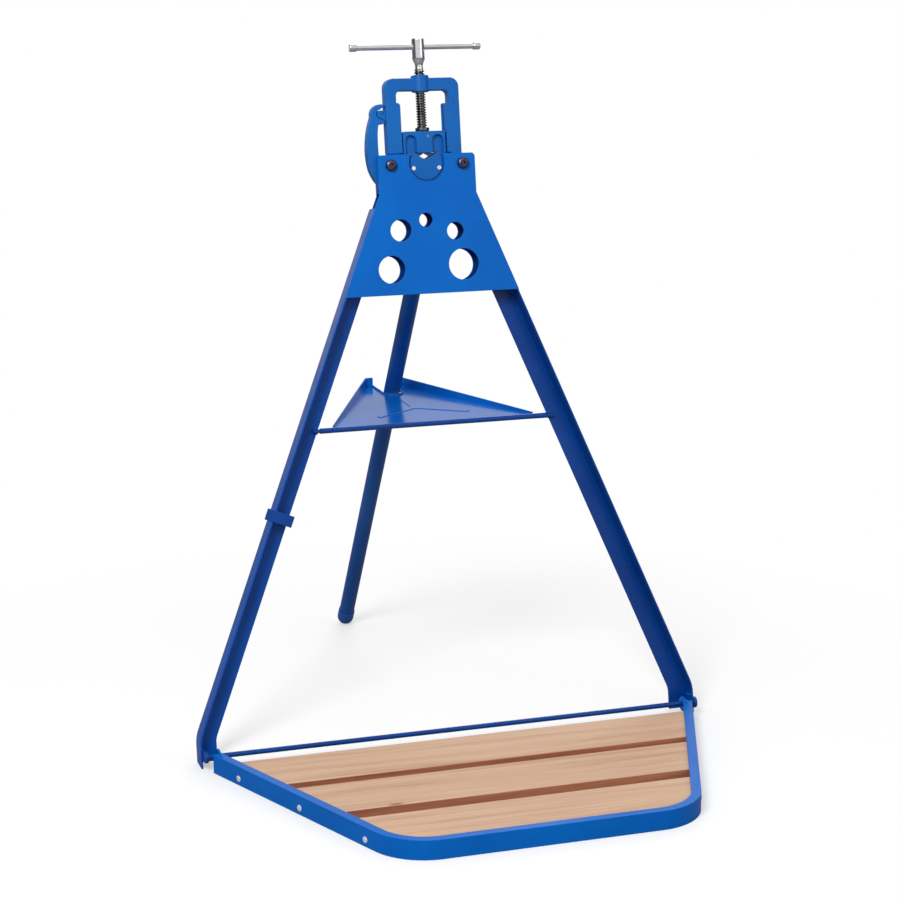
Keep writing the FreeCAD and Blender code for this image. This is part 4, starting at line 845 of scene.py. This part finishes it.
# how far in front of the feet a screw sits: its board's rear edge, and a share of the board
SCREW_NEAR = {"back": 52.6 + BOARD_DEEP * 0.28, "middle": 183.6 + BOARD_DEEP * 0.38,
              "front": 322.4 + BOARD_DEEP * 0.42}
for row, near in SCREW_NEAR.items():
    for side, sign in (("right", 1), ("left", -1)):
        node = "plank_screw_%s_%s" % (side, row)
        place = (Matrix.Translation(floor_point(sign * (RAIL_HALF - SLOPE * near), -near,
                                                SCREW_HEIGHT))
                 @ Matrix.Rotation(-sign * math.atan(SLOPE), 4, "Z")
                 @ Matrix.Rotation(sign * math.pi / 2, 4, "Y"))
        screw = lathe(node + "_dressed",
                      [(0, -25.5), (0.6, -24.5), (2.1, -20), (2.1, 0), (4.8, 0), (5.0, 0.35),
                       (4.8, 0.95), (3.7, 1.65), (1.9, 2.0), (0, 2.0)], place, zinc, 32)
        arms = [plug("cross_cutter", 0.45, -0.5, 3.0,
                     place @ Matrix.Translation((0, 0, 0.0016)) @ Matrix.Rotation(turn, 4, "Z")
                     @ Matrix.Diagonal((4.2, 1.0, 1.0, 1.0)), 4)
                for turn in (0.3, 0.3 + math.pi / 2)]
        dressed(finish_mesh(carve(screw, *arms), zinc), node)


# ------------------------------------------------------------------ weld beads
def leg_edge(v, inset):
    """Distance of the leg's outer face from the middle at height v, less an inset."""
    return FOOT_HALF - SLOPE * (v - BEND_HEIGHT) - inset


def pair(height):
    """Offsets below and above a welded piece, with their names."""
    return (-height, "low"), (height, "high")


INNER = ANGLE_WIDE / math.cos(math.atan(SLOPE))    # width of a leg along u
PLATE_BACK = 29.0                                  # back of the rear plate
for sign, side in ((-1, "left"), (1, "right")):
    line = [stand(sign * leg_edge(v, INNER + 0.3), v, PLATE_BACK - 0.4)
            for v in (714, 780, 846)]
    bead("weld_rear_plate_" + side, line, 1.5, "stand", blue)
    line = [stand(sign * leg_edge(v, 0.4), v, -0.3) for v in (716, 790, 862)]
    bead("weld_front_plate_" + side, line, 0.9, "stand", blue)
    line = [stand(sign * u, TRAY_ROD[0], PLATE_BACK - 0.2) for u in (191.2, 197.6)]
    for dv, at in pair(4.2):
        bead("weld_tray_rod_%s_%s" % (side, at),
             [p + (stand(0, dv, 0) - stand(0, 0, 0)) for p in line], 1.3, "stand", blue)
    for dv, at in pair(9.3):
        line = [stand(sign * 409.2, PLATFORM_ROD[0] + dv, t) for t in (2, 11, 20)]
        bead("weld_lug_%s_%s" % (side, at), line, 1.4, "stand", blue)
for dv, at in pair(22.3):
    line = [stand(u, LEG_PIVOT[0] + dv, PLATE_BACK + 0.6) for u in (-17, 0, 17)]
    bead("weld_bracket_" + at, line, 1.6, "stand", blue)

# -------------------------------------------------------------------- floor
FLOOR_HALF = 12                         # metres
sheet = bmesh.new()
sheet.faces.new([sheet.verts.new((x, y, 0))
                 for x, y in rect(-FLOOR_HALF, -FLOOR_HALF, FLOOR_HALF, FLOOR_HALF)])
floor = from_bmesh("floor_sheet", sheet)
if floor.data.polygons[0].normal.z < 0:
    floor.data.flip_normals()

# the floor takes the shadow near the stand and turns into the white backdrop farther out;
# it looks pale to the camera and sends little light up to the stand
ground = Mat("pale_floor")
floor_rays = ground.node("ShaderNodeLightPath").outputs
tone = ground.mix(floor_rays["Is Camera Ray"], (0.26, 0.26, 0.26), (0.97, 0.97, 0.97))
ground.set(Base_Color=tone, Roughness=0.9, Specular_IOR_Level=0.0)
away = ground.ordered("ShaderNodeVectorMath", "LENGTH", ground.mapped())
fade = ground.ramp(ground.math("MULTIPLY", away.outputs["Value"], 0.5),
                   [(0.26, 0.4), (0.56, 1.0)])
fade = ground.math("MULTIPLY", fade, floor_rays["Is Camera Ray"])
glow = ground.node("ShaderNodeEmission", Color=(1, 1, 1), Strength=1.0)
blend = ground.ordered("ShaderNodeMixShader", None, fade, ground.bsdf.outputs[0],
                       glow.outputs[0])
ground.put(ground.tree.nodes["Material Output"].inputs["Surface"], blend.outputs[0])
floor.data.materials.append(ground.material)

# -------------------------------------------------------------------- light
WORLD_LIGHT, WORLD_GLOSS, WORLD_DARK = 0.55, 0.72, 0.10
AZ, PITCH = math.radians(18.22), math.radians(13.17)   # the camera's turn and dip
world = bpy.data.worlds.new("studio")
scene.world = world
world.use_nodes = True
studio = Nodes(world.node_tree)
even = studio.tree.nodes["Background"]
studio.put(even.inputs["Color"], (1, 1, 1))
studio.put(even.inputs["Strength"], WORLD_LIGHT)
# polished parts mirror a room that is light in front and behind and dark at its sides
sideways = studio.ordered("ShaderNodeVectorMath", "DOT_PRODUCT",
                          studio.node("ShaderNodeTexCoord").outputs["Generated"],
                          (math.cos(AZ), -math.sin(AZ), 0))
walls = studio.ramp(studio.math("ABSOLUTE", sideways.outputs["Value"]),
                    [(0.62, WORLD_GLOSS), (0.86, WORLD_DARK)])
mirror = studio.node("ShaderNodeBackground", Color=walls)
white = studio.node("ShaderNodeBackground", Color=(1, 1, 1))
room_rays = studio.node("ShaderNodeLightPath").outputs
lit = studio.ordered("ShaderNodeMixShader", None, room_rays["Is Glossy Ray"],
                     even.outputs[0], mirror.outputs[0])
seen = studio.ordered("ShaderNodeMixShader", None, room_rays["Is Camera Ray"],
                      lit.outputs[0], white.outputs[0])
studio.put(studio.tree.nodes["World Output"].inputs["Surface"], seen.outputs[0])


def lamp(name, energy, size, at, aim):
    """Round lamp at a place in metres, turned to the point it aims at."""
    data = bpy.data.lights.new(name, "AREA")
    data.energy = energy
    data.shape = "DISK"
    data.size = size
    obj = link(name, data)
    obj.location = at
    obj.rotation_euler = (Vector(aim) - Vector(at)).to_track_quat("-Z", "Y").to_euler()


lamp("key", 105, 1.5, (-1.9, -2.5, 3.0), (0, -0.1, 0.75))
lamp("fill", 15, 2.4, (2.6, -2.8, 2.0), (0, 0, 0.6))
lamp("rim", 26, 1.8, (1.2, 2.6, 2.8), (0, 0, 0.6))

# ------------------------------------------------------------------- camera
PICTURE, FOCAL = 900, 2303.5            # pixels
camera = bpy.data.cameras.new("camera")
camera.sensor_width = 36
camera.lens = camera.sensor_width * FOCAL / PICTURE
camera.clip_end = 50
viewpoint = link("camera", camera)
viewpoint.location = floor_point(-1094.08, -3291.43, 1286.31)
look = Vector((math.sin(AZ) * math.cos(PITCH), math.cos(AZ) * math.cos(PITCH),
               -math.sin(PITCH)))
viewpoint.rotation_euler = look.to_track_quat("-Z", "Y").to_euler()
scene.camera = viewpoint
